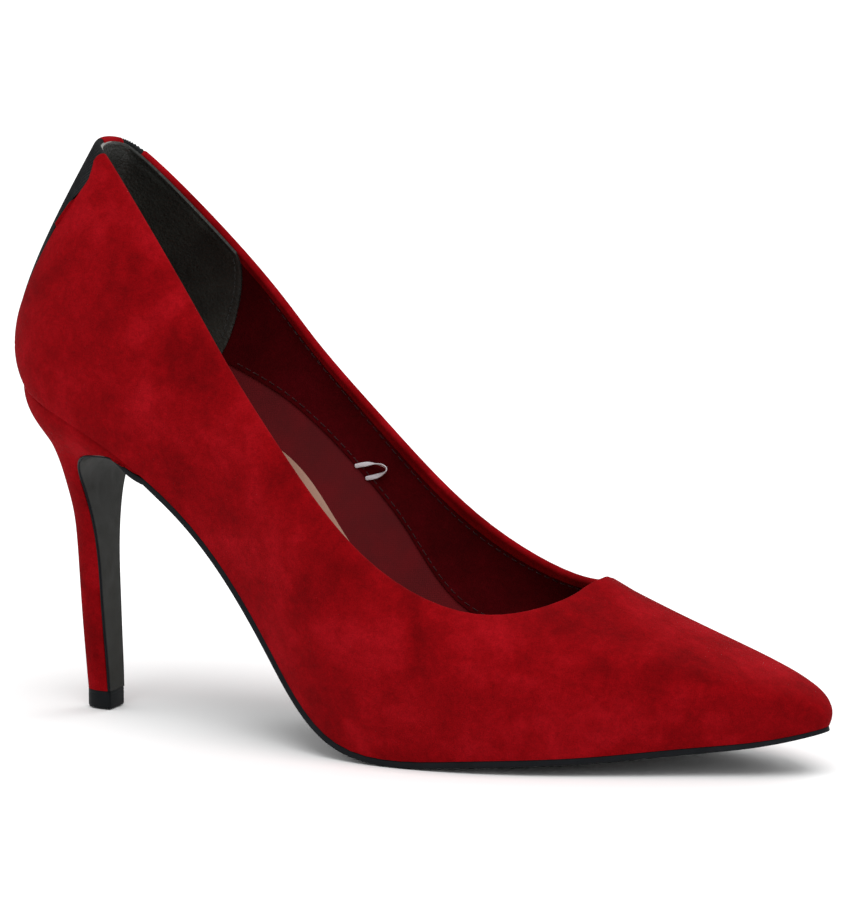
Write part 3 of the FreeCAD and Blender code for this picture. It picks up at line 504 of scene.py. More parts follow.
STIFFENER = cloth("stiffener_felt", (0.42, 0.40, 0.35), (0.52, 0.50, 0.45), 0.5)
DOUBLER_CLOTH = cloth("doubler_cloth", (0.55, 0.54, 0.50), (0.66, 0.65, 0.61), 0.4)
BOARD = satin("fibre_board", (0.26, 0.20, 0.13), (0.34, 0.27, 0.18), (0.75, 0.9), 0.2, (1, 4, 4), 0.08)
CORK = satin("cork_filler", (0.22, 0.13, 0.06), (0.36, 0.23, 0.12), (0.8, 0.95), 0.15, (3, 3, 3), 0.2)
FOAM = satin("latex_foam", (0.62, 0.58, 0.45), (0.72, 0.68, 0.56), (0.8, 0.95), 0.15, (4, 4, 4), 0.1)
PLASTIC = satin("heel_plastic", (0.045, 0.045, 0.047), (0.06, 0.06, 0.062), (0.35, 0.5))
STEEL = metal("spring_steel", (0.52, 0.53, 0.55))
GREY_THREAD = cloth("grey_thread", (0.016, 0.017, 0.016), (0.034, 0.035, 0.033), 0.25)
RED_THREAD = cloth("red_thread", (0.11, 0.004, 0.008), (0.17, 0.008, 0.014), 0.25)


def elastic_material():
    """Ribbed black elastic: the ribs are modelled, this adds the thread's fuzz."""
    material, tree, shader = new_material("black_elastic")
    fuzz = noise(tree, 2200.0, 3.0, 0.7)
    tone = noise(tree, 300.0, 2.0)
    colour = ramp(tree, weighted(tree, fuzz, tone, 0.6),
                  [(0.35, (0.004, 0.0045, 0.005)), (0.65, (0.016, 0.017, 0.018))])
    surface(tree, shader, colour, fuzz, (0.75, 0.95), {"Specular IOR Level": 0.1, "Sheen Weight": 0.03})
    bump(tree, shader, fuzz, 0.5, 0.1)
    return material


ELASTIC = elastic_material()
TAPE = cloth("pale_woven_tape", (0.50, 0.46, 0.50), (0.72, 0.69, 0.72), 0.35, 0.85, 0.2, 0.12)

# ---------------------------------------------------------------- side view of the bottom
HALF_PLACES = np.linspace(0.0, 1.0, 601)
HALF_FEATHER = feather(HALF_PLACES)


def feather_height(x):
    """Height of the feather line at x."""
    return np.interp(x, HALF_FEATHER[:, 0], HALF_FEATHER[:, 2])


def feather_place(x):
    """Place on the outer half of the feather line at x."""
    return np.interp(x, HALF_FEATHER[:, 0], HALF_PLACES)


def lifted_height(x, lift):
    """Height of the bottom's side view moved up square to itself."""
    slope = np.gradient(HALF_FEATHER[:, 2], HALF_FEATHER[:, 0])
    size = np.hypot(1.0, slope)
    xs = HALF_FEATHER[:, 0] - slope / size * lift
    zs = HALF_FEATHER[:, 2] + lift / size
    order = np.argsort(xs)
    return np.interp(x, xs[order], zs[order])


# ---------------------------------------------------------------- upper
SUEDE_THICKNESS = 0.85
ROLL_RADIUS = 1.05
FOLD_DEPTH = 3.6
# Edge of the back notch: x, height.
NOTCH_LINE = ((4.0, 100), (7.6, 106), (12.3, 114.5), (17.0, 123.2), (23.6, 134.0), (30.2, 143.4),
              (32.9, 147.6), (33.3, 151.0), (32.8, 170))
# Back strip: height, then y of its outer and its inner edge.
STRIP_LINE = ((96, -0.5, 3.4), (118, -0.8, 4.2), (138, -1.3, 5.2), (147, -3.2, 6.4), (153, -4.8, 6.9),
              (170, -5.0, 7.0))
NOTCH_REACH = 0.25
CORNER_RADIUS = 2.6
CREST = 0.985


def past_notch(points, side):
    """Positive where a point of the wall lies in front of the notch's edge."""
    edge = np.interp(points[..., 2], [row[1] for row in NOTCH_LINE], [row[0] for row in NOTCH_LINE])
    return np.where(points[..., 2] < NOTCH_LINE[0][1], 1.0, points[..., 0] - edge)


def past_strip(points, side):
    """Positive where a point of the wall lies beyond the strip's edge on one side."""
    column = 1 if side < 0 else 2
    edge = np.interp(points[..., 2], [row[0] for row in STRIP_LINE], [row[column] for row in STRIP_LINE])
    return side * (points[..., 1] - edge)


def edge_place(height, side, measure):
    """Distance round the loop from the back, at one height, where a measure turns positive."""
    steps = np.linspace(0.0, 0.2, 401)
    reach = measure(outer_point(-side * steps, np.full_like(steps, height)), side)
    index = int(np.argmax(reach > 0))
    if index == 0:
        return 0.0
    ratio = reach[index - 1] / (reach[index - 1] - reach[index])
    return steps[index - 1] + (steps[index] - steps[index - 1]) * ratio


def place_scale(place, height):
    """Millimetres of wall to one unit of place."""
    step = 0.001
    gap = outer_point(place + step, height) - outer_point(place - step, height)
    return np.linalg.norm(gap, axis=-1) / (2 * step)


def top_height(place, drop_mm):
    """Height whose point lies a distance below the topline."""
    _, _, scale = wall_directions(place, np.ones_like(place))
    return 1.0 - drop_mm / scale


def roll_rows(place, top, radius, depth, fold, wave=0.0):
    """Points round the topline and down inside, for a sheet whose outer face is at a depth."""
    inward, up, scale = wall_directions(place, top)
    centre = outer_point(place, top) + inward * (depth + radius)
    wave = np.broadcast_to(wave, np.shape(place))[..., None]
    rows = []
    for angle in np.linspace(0, math.pi, 9)[1:]:
        reach = radius + wave
        rows.append(centre - inward * (reach * math.cos(angle)) + up * (reach * math.sin(angle)))
    for down in np.linspace(0, fold, 5)[1:]:
        rows.append(wall_point(place, top - down / scale, depth + 2 * radius))
    return rows


def add_gauge(piece, thickness):
    """Gives a single-walled grid its thickness, behind its front faces."""
    solid = piece.modifiers.new("gauge", "SOLIDIFY")
    solid.thickness = thickness * MM
    solid.offset = -1.0


def solid_sheet(piece, thickness, edge_round=0.3):
    weld(piece)
    add_gauge(piece, thickness)
    if edge_round:
        add_bevel(piece, edge_round, 3, 60)


def grid_object(name, rows, material, closed=False):
    """Object from rows of points; the grid's front faces look out of the wall."""
    rows = np.asarray(rows)
    faces = grid_faces(rows.shape[0], rows.shape[1], closed)
    return make_object(name, rows.reshape(-1, 3), faces, material)


def face_outward(piece, inside_point):
    """Turns the faces so that most of them look away from a point."""
    weld(piece)
    mesh = piece.data
    centre = Vector(to_frame(inside_point))
    score = sum((polygon.center - centre).dot(polygon.normal) * polygon.area for polygon in mesh.polygons)
    if score < 0:
        mesh.flip_normals()


FOOT_MIDDLE = np.array([110.0, 0.0, 45.0])


def build_upper():
    """Suede upper: open at the back in a notch, turned over the topline, lasted under the foot."""
    ends = np.array([0.0, 0.0012, 0.003, 0.005, 0.0075, 0.0105])
    base = column_places(0.0, 2.0, 7)
    base = np.unique(np.concatenate([base, ends, 2.0 - ends]))
    from_back = np.minimum(base, 2.0 - base)
    pull = np.clip(1.0 - from_back / NOTCH_REACH, 0, 1)
    outer_side = base <= 1.0

    def places(height):
        near, far = edge_place(height, -1, past_notch), edge_place(height, 1, past_notch)
        return np.where(outer_side, base + pull * near, base - pull * far), near, far

    rows = []
    for inset in (4.5, 1.6):
        low = feather(base) - outward(base) * inset
        low[:, 2] = feather_height(low[:, 0])
        rows.append(low)
    crest, near, far = places(CREST)
    scale = place_scale(crest, np.full_like(crest, 0.98))
    to_edge = np.where(outer_side, crest - near, 2.0 - far - crest) * scale
    short = np.clip(CORNER_RADIUS - to_edge, 0, None)
    drop = CORNER_RADIUS - np.sqrt(np.clip(CORNER_RADIUS ** 2 - short ** 2, 0, None))
    top = top_height(crest, ROLL_RADIUS + drop)
    for share in np.linspace(0.0, 1.0, 46):
        place, _, _ = places(share * CREST)
        rows.append(outer_point(place, top * share))
    rows += roll_rows(crest, top, ROLL_RADIUS, 0.0, FOLD_DEPTH)
    piece = grid_object("upper_suede_shell", rows, RED_SUEDE)
    face_outward(piece, FOOT_MIDDLE)
    solid_sheet(piece, SUEDE_THICKNESS)
    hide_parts("upper_suede")


RIB_PITCH = 1.05
RIB_HALF = 0.13
GORE_DEPTH = 0.33


def build_gore(name, side):
    """Ribbed elastic between the strip and the quarter, turned in over the topline."""
    heights = np.linspace(0.12, 1.0, 62)
    radius = 0.8
    distances = np.arange(0.0, 22.0, RIB_PITCH / 6)
    rows = []
    for share in heights:
        height = share * CREST
        start = edge_place(height, side, past_strip)
        end = max(edge_place(height, side, past_notch), 0.018)
        scale = place_scale(np.array([-side * start]), np.array([height]))[0]
        tuck = 1.8 + 1.6 * float(smooth(0.90, 0.96, height))
        across = np.minimum(distances, (end - start) * scale + tuck)
        wave = -RIB_HALF * np.cos(2 * math.pi * across / RIB_PITCH)
        place = -side * np.clip(start + (across - 0.6) / scale, 0, None)
        top = top_height(place, radius + 0.2)
        rows.append(wall_point(place, top * share, GORE_DEPTH - wave))
    rows += roll_rows(place, top, radius, GORE_DEPTH, 3.0, wave)
    piece = grid_object(name, rows, ELASTIC)
    face_outward(piece, FOOT_MIDDLE)
    solid_sheet(piece, 0.4, 0.0)
    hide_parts("elastic_gore_lateral" if side < 0 else "elastic_gore_medial")


def strip_grid(heights, fractions, depth_at, top_radius, fold):
    """Rows of the back strip up the wall and over the topline, at fractions of its width."""
    rows = []
    for share in heights:
        height = share * CREST
        left = edge_place(height, -1, past_strip)
        right = edge_place(height, 1, past_strip)
        place = left + (-right - left) * fractions
        top = top_height(place, top_radius)
        point = outer_point(place, top * share)
        depth = depth_at(point[:, 2])
        rows.append(wall_point(place, top * share, depth))
    rows += roll_rows(place, top, top_radius, float(depth_at(np.array([150.0]))[0]), fold)
    return rows


def build_strip():
    """Suede strip down the back, sewn over the gores, its top folded over the topline."""
    def depth_at(z):
        return 0.87 - 0.82 * smooth(101.5, 107.0, z)

    rows = strip_grid(np.linspace(0.10, 1.0, 60), np.linspace(0.0, 1.0, 25), depth_at, 1.2, 4.2)
    piece = grid_object("back_strip_suede", rows, RED_SUEDE)
    face_outward(piece, FOOT_MIDDLE)
    solid_sheet(piece, 0.8, 0.25)
    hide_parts("back_strip")
    margin = np.array([0.12, 0.88])
    line_rows = np.array(strip_grid(np.linspace(0.24, 0.985, 70), margin, depth_at, 1.2, 3.0)[:70])
    for index, word in enumerate(("outer", "inner")):
        line = line_rows[:, index]
        along = unit(np.gradient(line, axis=0))
        away = np.stack([line[:, 0] - 60.0, line[:, 1] * 3, np.zeros(len(line))], -1)
        away = unit(away - along * np.sum(away * along, axis=1, keepdims=True))
        stitches = stitch_row(f"strip_stitches_{word}", line, away, RED_THREAD, 1.9, 0.8, 0.2)


# ---------------------------------------------------------------- lining
FACING_HALF = Spline((0.0, 0.12, 0.18, 0.225, 0.266, 0.310, 0.350, 0.395, 0.440, 0.465, 0.495, 0.533,
                      0.60, 0.72, 1.0),
                     (0.34, 0.34, 0.355, 0.405, 0.458, 0.500, 0.528, 0.550, 0.563, 0.557, 0.520, 0.462,
                      0.415, 0.38, 0.37))


def facing_edge(place):
    """Height of the seam between facing and lining, the same on both sides."""
    return FACING_HALF(1.0 - np.abs(1.0 - np.asarray(place)))


def wall_sheet(name, places, low, high, depth_low, depth_high, material, rows, gauge=0.3, edge_round=0.12):
    """Sheet on the wall's inside between two lines of heights; its front looks at the foot."""
    grid = []
    for share in np.linspace(0.0, 1.0, rows):
        height = low + (high - low) * share
        depth = depth_low + (depth_high - depth_low) * share
        grid.append(wall_point(places, height, depth))
    piece = grid_object(name, grid, material)
    face_outward(piece, FOOT_MIDDLE)
    piece.data.flip_normals()
    add_gauge(piece, gauge)
    add_bevel(piece, edge_round, 2, 50)
    return piece


def build_lining():
    """Lining below, facing above it, lapped along a seam."""
    places = column_places(0.0, 2.0, 8)
    edge = facing_edge(places)
    lap = 2.0
    _, _, scale = wall_directions(places, edge)
    lining = wall_sheet("quarter_lining_cloth", places, np.full_like(places, 0.015), edge + lap / scale,
                        1.9, 1.9, LINING_CLOTH, 16)
    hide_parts("quarter_lining")
    top = top_height(places, ROLL_RADIUS + FOLD_DEPTH - 0.7)
    facing = wall_sheet("collar_facing_suede", places, edge, top, 2.35, 1.85, FACING_SUEDE, 22, 0.42, 0.18)
    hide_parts("collar_facing")
    for word, start, end in (("outer", 0.2, 0.97), ("inner", 1.03, 1.8)):
        line_places = np.linspace(start, end, 160)
        for label, drop, depth in (("edge", None, 2.36), ("top", 6.2, 2.0)):
            if drop is None:
                _, _, scale = wall_directions(line_places, facing_edge(line_places))
                heights = facing_edge(line_places) + 1.4 / scale
            else:
                heights = top_height(line_places, drop)
            points = wall_point(line_places, heights, depth - 0.04)
            inward, _, _ = wall_directions(line_places, heights)
            row = stitch_row(f"facing_stitches_{label}_{word}", points, inward, BURGUNDY_THREAD,
                             1.7, 0.9, 0.13)


# ---------------------------------------------------------------- heel grip, sock and arch pad
GRIP_EDGE = Spline((0.30, 0.42, 0.53, 0.68, 0.84, 1.0), (0.186, 0.187, 0.184, 0.178, 0.174, 0.172))
GRIP_LOW = 0.37
STITCH_INSET = 2.1


def build_grip():
    """Thin foam pad covered in grained leather round the inside of the back, sewn near its edge."""
    columns, rows = 97, 61
    grid_front, grid_back = [], []
    across = np.linspace(-1.0, 1.0, columns)
    for share in np.linspace(0.0, 1.0, rows):
        guess = GRIP_LOW + (0.98 - GRIP_LOW) * share
        place = -across * float(GRIP_EDGE(guess))
        top = top_height(place, 0.8)
        height = GRIP_LOW + (top - GRIP_LOW) * share
        _, _, up_scale = wall_directions(place, height)
        side_scale = place_scale(place, height)
        from_side = (1.0 - np.abs(across)) * float(GRIP_EDGE(guess)) * side_scale
        from_end = np.minimum(height - GRIP_LOW, top - height) * up_scale
        from_edge = np.minimum(from_side, from_end)
        crown = 0.55 + 0.50 * smooth(0.0, 5.0, from_edge) + 0.12 * smooth(4.0, 18.0, from_edge)
        groove = 0.22 * np.exp(-((from_edge - STITCH_INSET) / 0.35) ** 2)
        grid_front.append(wall_point(place, height, 2.2 + crown - groove))
        grid_back.append(wall_point(place, height, 2.05))
    piece = thick_sheet("heel_grip_pad", np.stack(grid_front), np.stack(grid_back), GRIP_LEATHER, 0.0)
    piece.data.materials.append(RAW_EDGE_AND_HIGHLIGHT)
    count = (columns - 1) * (rows - 1)
    # Rim faces on the outer side get the light grey: the cut edge's own colour together with a painted
    # highlight. The rim on the inner side keeps the dark leather.
    for index, polygon in enumerate(piece.data.polygons):
        if index >= 2 * count:
            polygon.material_index = 1 if polygon.center.y < to_frame(np.zeros(3))[1] else 0
            polygon.use_smooth = False
    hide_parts("heel_grip")
    for word, sign in (("outer", 1), ("inner", -1)):
        heights = np.linspace(GRIP_LOW + 0.03, 0.955, 90)
        reach = np.array([float(GRIP_EDGE(value)) for value in heights])
        place = sign * reach
        place = place - sign * STITCH_INSET / place_scale(place, heights)
        inward, _, _ = wall_directions(place, heights)
        points = wall_point(place, heights, 2.86)
        row = stitch_row(f"grip_stitches_{word}", points, inward, GREY_THREAD, 1.9, 0.7, 0.17)


SOCK_INSET = 2.3
SOCK_LIFT = 4.15


def build_sock():
    """Beige leather sock over the insole, a little dished, with a soft rise under the heel."""
    places = np.linspace(0.008, 0.992, 120)
    left = feather(places) - outward(places) * SOCK_INSET
    right = feather(2.0 - places) - outward(2.0 - places) * SOCK_INSET
    grid = []
    for share in np.linspace(0.0, 1.0, 25):
        points = left + (right - left) * share
        middle = 1.0 - (2 * share - 1) ** 2
        points[:, 2] = lifted_height(points[:, 0], SOCK_LIFT)
        cushion = (np.exp(-((points[:, 0] - 28) / 16) ** 2) * 0.35
                   + np.exp(-((points[:, 0] - 150) / 24) ** 2) * 0.25)
        points[:, 2] += cushion * middle + 0.30 * (1 - middle) ** 2
        grid.append(points)
    piece = grid_object("sock_leather", grid, SOCK_LEATHER)
    face_outward(piece, np.array([110.0, 0.0, -200.0]))
    solid_sheet(piece, 0.7, 0.2)
    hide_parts("sock_lining")


ARCH_PAD_TOP = Spline((1.48, 1.52, 1.5684, 1.5882, 1.6143, 1.6385, 1.6673, 1.7133, 1.75, 1.78),
                     (0.13, 0.20, 0.250, 0.256, 0.262, 0.270, 0.272, 0.235, 0.17, 0.11))


def build_arch_pad():
    """Soft beige pad on the inner side of the arch, thinning out to its upper edge."""
    places = np.linspace(1.49, 1.77, 70)
    high = ARCH_PAD_TOP(places)
    low = 0.06
    front, back = [], []
    ends = smooth(1.49, 1.53, places) * (1 - smooth(1.73, 1.77, places))
    for share in np.linspace(0.0, 1.0, 21):
        height = low + (high - low) * share
        thick = 0.35 + 1.35 * ends * math.sin(math.pi * min(1.0, 0.25 + 0.72 * share)) ** 0.8
        front.append(wall_point(places, height, 1.95 + thick))
        back.append(wall_point(places, height, 1.8))
    piece = thick_sheet("arch_pad_cover", np.stack(front), np.stack(back), SOCK_LEATHER, 0.15)
    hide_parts("arch_pad")


# ---------------------------------------------------------------- sole and breast in one piece
SOLE_THICKNESS = 1.82
FLAP_THICKNESS = 0.65
# Side view of the ribbon's inner face behind the arch, from the sole down the breast, with its
# half-width on the outer and the inner side: x, z, outer, inner.
RIBBON_BACK = (
    (54.0, None, 27.35, 23.1), (49.0, 70.2, 27.3, 23.6), (44.0, 72.9, 26.5, 23.9), (38.5, 73.2, 24.6, 23.3),
    (33.6, 72.5, 22.2, 22.0), (29.8, 70.8, 19.3, 19.3), (27.4, 67.0, 15.5, 15.5), (26.9, 62.0, 12.0, 12.0),
    (27.3, 54.0, 8.5, 8.5), (27.8, 45.6, 6.5, 6.5), (28.6, 29.0, 5.45, 5.45), (29.2, 18.5, 4.95, 4.95),
    (29.75, 9.0, 4.52, 4.52),
    (29.9, 4.95, 4.35, 4.35),
)


def ribbon_rows():
    """Side-view points, normals, thickness, and both edges of the ribbon, row by row from the toe."""
    front_places = np.linspace(1.0, float(feather_place(np.array([58.0]))[0]), 110)
    fine = 1.0 - np.linspace(0.0, 0.02, 10)
    front_places = np.unique(np.concatenate([front_places, fine]))[::-1]
    outer_edge = feather(front_places) - outward(front_places) * 0.1
    inner_edge = feather(2.0 - front_places) - outward(2.0 - front_places) * 0.1
    back = np.array([(x, float(feather_height(x)) if z is None else z, a, b) for x, z, a, b in RIBBON_BACK])
    lengths = np.concatenate([[0], np.cumsum(np.hypot(*np.diff(back[:, :2], axis=0).T))])
    walk = np.linspace(0, lengths[-1], 120)
    curves = [Spline(lengths, back[:, column]) for column in range(4)]
    xs, zs, outer_half, inner_half = (curve(walk) for curve in curves)
    flat = np.tile([0.0, -1.0, 0.0], (len(walk), 1))
    edges = {
        "outer": np.concatenate([outer_edge, np.stack([xs, -outer_half, zs], -1)]),
        "inner": np.concatenate([inner_edge, np.stack([xs, inner_half, zs], -1)]),
        "outer_way": np.concatenate([outward(front_places), flat]),
        "inner_way": np.concatenate([outward(2.0 - front_places), -flat]),
    }
    side_x = np.concatenate([feather(front_places)[:, 0], xs])
    side_z = np.concatenate([feather(front_places)[:, 2], zs])
    along = np.gradient(np.stack([side_x, side_z], -1), axis=0)
    along[0] = along[1]
    along /= np.linalg.norm(along, axis=1, keepdims=True) + 1e-12
    down = np.stack([-along[:, 1], np.zeros(len(along)), along[:, 0]], -1)
    distance = np.concatenate([np.full(len(front_places), -1.0), walk])
    thickness = SOLE_THICKNESS + (FLAP_THICKNESS - SOLE_THICKNESS) * smooth(0.0, 14.0, distance)
    thickness = thickness - 0.45 * smooth(200.0, 236.0, side_x)
    return edges, down, thickness, distance


def build_ribbon():
    """The leather sole, which turns down over the heel's breast; its edge is black."""
    edges, down, thickness, distance = ribbon_rows()
    # Inset from the edge in millimetres, and share of the thickness.
    profile = ((0.55, 0.0), (0.12, 0.04), (0.0, 0.22), (0.0, 0.5), (0.0, 0.78), (0.10, 0.94), (0.34, 1.0),
               (0.75, 1.0))
    inner_count, outer_count = 8, 14
    sections = []
    for row in range(len(thickness)):
        sides = {}
        for word in ("outer", "inner"):
            edge, way = edges[word][row], edges[f"{word}_way"][row]
            sides[word] = [edge - way * inset + down[row] * (thickness[row] * part)
                           for inset, part in profile]
        loop = list(sides["outer"])
        a, b = sides["outer"][-1], sides["inner"][-1]
        loop += [a + (b - a) * share for share in np.linspace(0, 1, outer_count + 2)[1:-1]]
        loop += list(reversed(sides["inner"]))
        a, b = sides["inner"][0], sides["outer"][0]
        loop += [a + (b - a) * share for share in np.linspace(0, 1, inner_count + 2)[1:-1]]
        sections.append(loop)
    sections = np.array(sections)
    count = sections.shape[1]
    faces = grid_faces(len(sections), count, closed=True)
    faces.append(tuple(range((len(sections) - 1) * count, len(sections) * count)))
    piece = make_object("sole_and_breast", sections.reshape(-1, 3), faces, SOLE_EDGE)
    piece.data.materials.append(SOLE_LEATHER)
    piece.data.materials.append(BREAST_SATIN)
    first, last = len(profile) - 1, len(profile) + outer_count
    breast_from = float(np.argmax(distance > 19.0))
    for index, polygon in enumerate(piece.data.polygons):
        row, column = divmod(index, count)
        if row < len(sections) - 1 and first <= column < last:
            polygon.material_index = 2 if row >= breast_from else 1
    weld(piece)
    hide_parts("outsole", "breast_flap")


# ---------------------------------------------------------------- heel cover
# Sections of the heel: height, x of the back, x of the widest point, half-width there, x of the front,
# half-width there.
HEEL_SECTIONS = np.array((
    (5.0, 22.2, 28.6, 4.3, 30.2, 4.3), (29.0, 20.4, 27.3, 5.4, 29.0, 5.4),
    (45.6, 19.5, 26.8, 6.4, 28.4, 6.4), (54.0, 19.0, 26.4, 8.5, 28.8, 8.8),
    (62.0, 17.9, 26.4, 12.2, 33.0, 13.0), (70.2, 15.9, 27.0, 16.4, 44.0, 21.5),
    (78.3, 12.1, 26.5, 20.3, 51.0, 26.8), (86.5, 8.0, 25.5, 23.8, 54.0, 27.4),
    (94.0, 4.6, 24.5, 25.2, 56.0, 27.6),
))
SECTION_CURVES = [Spline(HEEL_SECTIONS[:, 0], HEEL_SECTIONS[:, column]) for column in range(6)]
# Rows of the cover in side view: where each starts at the breast (x, z) and its height at the back.
COVER_ROWS = (
    (29.85, 5.0, 5.0), (29.25, 17.0, 17.0), (28.6, 29.0, 29.0), (27.8, 45.6, 45.6), (27.3, 54.0, 54.5),
    (26.9, 62.0, 63.5), (27.4, 67.0, 70.0), (29.8, 70.8, 76.0), (33.6, 72.6, 80.5), (38.5, 73.3, 84.0),
    (44.0, 73.0, 87.3), (49.0, 70.3, 89.8), (53.0, None, 92.0),
)
SEAT_BLEND = 14.0
CORE_INSET = 0.85


def heel_half_width(x, z, side):
    """Half-width of the heel at a point of its side view, widening to the upper at the seat."""
    back, centre, half, front, front_half = (SECTION_CURVES[column](z) for column in range(1, 6))
    inside = np.clip((centre - x) / (centre - back), 0, 1)
    round_part = half * np.sqrt(np.clip(1 - inside ** 2, 0, 1))
    straight = half + (front_half - half) * np.clip((x - centre) / (front - centre), 0, 1)
    width = np.where(x < centre, round_part, straight)
    seat_y = np.abs(FEATHER_Y(feather_place(x) if side < 0 else 2.0 - feather_place(x)))
    gap = np.clip(feather_height(x) - z, 0, None)
    weight = smooth(0, 1, 1 - gap / SEAT_BLEND)
    return width + (seat_y - 0.75 - width) * weight


def build_heel_cover():
    """Suede over the moulded heel, tucked under the sole's breast flap."""
    table = np.array([(x, float(feather_height(x)) if z is None else z, k) for x, z, k in COVER_ROWS])
    index = np.arange(len(table), dtype=float)
    start_x, start_z, back_z = (Spline(index, table[:, column]) for column in range(3))
    steps = np.linspace(0.0, 1.0, 33)
    share = 1.0 - (1.0 - steps) ** 2
    rows = []
    for step in np.linspace(0.0, index[-1], 110):
        k = float(back_z(step))
        back_x = float(SECTION_CURVES[1](k))
        seat = smooth(8.0, index[-1], step)
        back_x += (6.2 - back_x) * smooth(10.5, index[-1], step)
        ax, az = float(start_x(step)), float(start_z(step))
        x = ax + (back_x - ax) * share
        z = az + (k - az) * share
        seat_line = feather_height(x)
        seat_straight = np.interp(x, [back_x, ax], [feather_height(back_x), feather_height(ax)])
        z = z + (seat_line - seat_straight) * seat
        z = np.minimum(z, seat_line)
        outer = np.stack([x, -heel_half_width(x, z, -1), z], -1)
        inner = np.stack([x, heel_half_width(x, z, 1), z], -1)[::-1]
        outer[-1, 1] = 0.0
        rows.append(np.concatenate([outer, inner[1:]]))
    piece = grid_object("heel_cover_suede", rows, RED_SUEDE)
    face_outward(piece, np.array([30.0, 0.0, 60.0]))
    solid_sheet(piece, 0.7, 0.2)
    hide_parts("heel_cover")
    core_rows = np.array(rows)
    core_back = core_rows[..., 0].min(axis=1, keepdims=True) + CORE_INSET
    core_rows[..., 0] = np.maximum(core_rows[..., 0], core_back)
    core_rows[..., 0] -= 0.1
    core_y = core_rows[..., 1]
    core_rows[..., 1] = np.sign(core_y) * np.clip(np.abs(core_y) - CORE_INSET, 0, None)
    core_rows[..., 2] += np.linspace(0.05, -0.4, len(core_rows))[:, None]
    core = capped_tube("heel_core_moulded", core_rows, PLASTIC)
    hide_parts("heel_core")


def build_tip():
    """Moulded top piece: a D in plan with softened edges and a fine parting line."""
    _, back, centre, half, front, front_half = HEEL_SECTIONS[0]
    angles = np.linspace(-math.pi / 2, math.pi / 2, 25)
    outline = [(centre - (centre - back) * math.cos(angle), half * math.sin(angle)) for angle in angles]
    front = front + 0.4
    corner = 0.7
    for turn, sign in ((math.pi / 2, 1), (0.0, -1)):
        for part in np.linspace(0, math.pi / 2, 5):
            angle = turn - part
            outline.append((front - corner + corner * math.cos(angle),
                            sign * (front_half - corner) + corner * math.sin(angle)))
    outline = np.array(outline)
    middle = np.array([(back + front) / 2, 0.0])
    rows = []
    for z, inset in ((0.0, 0.9), (0.0, 0.55), (0.12, 0.22), (0.45, 0.02), (1.2, 0.0), (3.9, 0.0),
                     (4.0, 0.08), (4.1, 0.0), (4.75, 0.0), (4.97, 0.15), (5.0, 0.5)):
        shrink = 1.0 - inset / half
        plan = middle + (outline - middle) * shrink
        rows.append(np.column_stack([plan, np.full(len(plan), z)]))
    piece = capped_tube("heel_tip", np.array(rows), TIP_RUBBER)
    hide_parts("top_piece")


# ---------------------------------------------------------------- tape loop on the inner lining
def build_loop():
    """Flat woven tape, folded into a loop: both legs lie along the facing's edge and it twists up."""
    place, height = np.array([1.599]), np.array([0.556])
    middle = wall_point(place, height, np.array([2.45]))[0]
    inward, up, _ = (value[0] for value in wall_directions(place, height))
    reach_way, seam = (unit(way - inward * way.dot(inward))
                       for way in np.array([[0.97, 0.0, 0.24], [0.66, 0.14, -0.74]]))
    reach, lift, spread = 6.6, 2.2, 2.2
    turn = np.linspace(0.0, 1.0, 49) * math.pi
    path, wide = [], []
    for angle in turn:
        forward = reach * math.sin(angle) ** 0.85 - 0.6 * (1 - math.sin(angle))
        across = -spread * math.cos(angle) * (1.0 + 0.15 * math.sin(angle))
        rise = lift * math.sin(angle) ** 1.3
        path.append(middle + reach_way * forward + seam * across + inward * (rise - 0.15))
        stand = math.sin(angle) ** 1.2
        wide.append(unit(seam * (1 - stand) + inward * stand + up * stand * 0.35))
    path, wide = np.array(path), np.array(wide)
    along_path = unit(np.gradient(path, axis=0))
    wide = unit(wide - along_path * np.sum(wide * along_path, axis=1, keepdims=True))
    normal = np.cross(wide, along_path)
    half_thick = 0.2
    section = [(-1, -0.5), (-0.85, -1), (0.85, -1), (1, -0.5), (1, 0.5), (0.85, 1), (-0.85, 1), (-1, 0.5)]
    half_width = (0.58 + 0.24 * np.sin(turn))[:, None]
    rows = [path + wide * (half_width * a) + normal * (half_thick * b) for a, b in section]
    piece = capped_tube("tag_loop_tape", np.stack(rows, axis=1), TAPE, 0.005)
    smoother = piece.modifiers.new("soft", "SUBSURF")
    smoother.levels = smoother.render_levels = 1
    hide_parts("tag_loop")


build_upper()
build_gore("elastic_gore_outer_side", -1)
build_gore("elastic_gore_inner_side", 1)
build_strip()
build_lining()
build_grip()
build_sock()
build_arch_pad()
build_ribbon()
build_heel_cover()
build_tip()
build_loop()

# ---------------------------------------------------------------- materials of the hidden parts
HIDDEN = {
    STIFFENER: ("heel_counter", "toe_puff"),
    DOUBLER_CLOTH: ("doubler_lateral", "doubler_medial", "topline_tape"),
    BOARD: ("insole_board",),
    CORK: ("bottom_filler",),
    FOAM: ("heel_pad",),
    STEEL: ("shank", "shank_rivets", "heel_tube", "heel_screw", "heel_nails", "top_piece_pin"),
}
for inner_material, names in HIDDEN.items():
    for node_name in names:
        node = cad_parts[node_name]
        for slot in node.material_slots:
            slot.material = inner_material
        if not node.material_slots:
            node.data.materials.append(inner_material)

# ---------------------------------------------------------------- camera, light and floor
CAMERA_TURN = math.radians(24.8)
CAMERA_RISE = math.radians(9.2)
CAMERA_DISTANCE = 1500.0
CAMERA_TARGET = np.array([122.4, 0.0, 75.8])
FOCAL_PIXELS = 5720.0
LONG_SIDE_PIXELS = 907.0
SENSOR_MM = 36.0


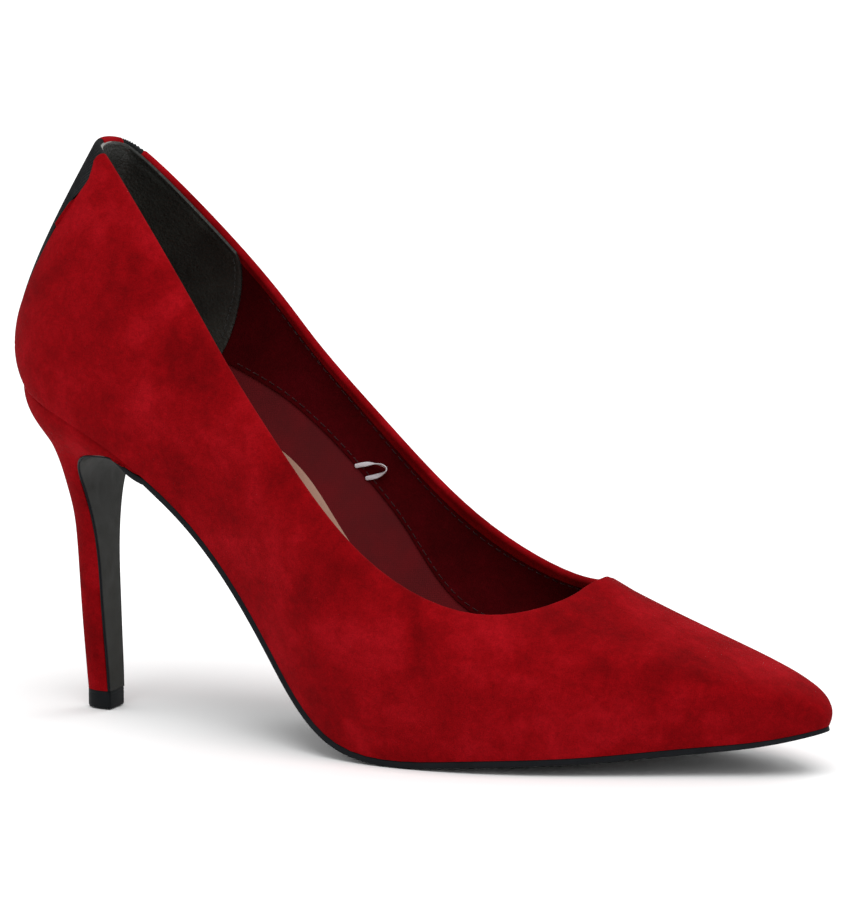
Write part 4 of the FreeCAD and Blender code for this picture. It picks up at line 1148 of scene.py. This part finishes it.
def build_camera():
    back = np.array([math.sin(CAMERA_TURN) * math.cos(CAMERA_RISE),
                     -math.cos(CAMERA_TURN) * math.cos(CAMERA_RISE), math.sin(CAMERA_RISE)])
    data = bpy.data.cameras.new("view")
    data.sensor_width = SENSOR_MM
    data.lens = FOCAL_PIXELS * SENSOR_MM / LONG_SIDE_PIXELS
    data.clip_start = 0.05
    data.clip_end = 20.0
    camera = link_object("view", data)
    camera.location = Vector(to_frame(CAMERA_TARGET + back * CAMERA_DISTANCE))
    camera.rotation_euler = Vector(back).to_track_quat("Z", "Y").to_euler()
    bpy.context.scene.camera = camera


def area_light(name, location, aim, size, power):
    data = bpy.data.lights.new(name, "AREA")
    data.shape = "DISK"
    data.size = size
    data.energy = power
    light = link_object(name, data)
    light.location = location
    light.rotation_euler = (Vector(location) - Vector(aim)).to_track_quat("Z", "Y").to_euler()


def build_studio():
    mesh = bpy.data.meshes.new("floor")
    reach = 7.0
    drop = -0.0002
    corners = ((-reach, -reach, drop), (reach, -reach, drop), (reach, reach, drop), (-reach, reach, drop))
    mesh.from_pydata(corners, [], [(0, 1, 2, 3)])
    floor = link_object("floor", mesh)
    material, _, shader = new_material("pale_floor")
    set_inputs(shader, {"Base Color": (0.95, 0.95, 0.95, 1.0), "Roughness": 0.9, "Specular IOR Level": 0.1})
    mesh.materials.append(material)
    bpy.context.scene.view_settings.view_transform = "Standard"
    world = bpy.data.worlds.new("studio")
    bpy.context.scene.world = world
    world.use_nodes = True
    background = world.node_tree.nodes["Background"]
    set_inputs(background, {"Color": (1.0, 1.0, 1.0, 1.0), "Strength": 0.75})
    sun_data = bpy.data.lights.new("overhead", "SUN")
    sun_data.energy = 1.9
    sun_data.angle = math.radians(50.0)
    sun = link_object("overhead", sun_data)
    sun.rotation_euler = Vector((0.25, -0.35, 1.0)).to_track_quat("Z", "Y").to_euler()
    area_light("back", (0.3, 0.9, 0.8), (0.0, 0.0, 0.06), 0.8, 2.0)


build_camera()
build_studio()
bpy.context.view_layer.update()
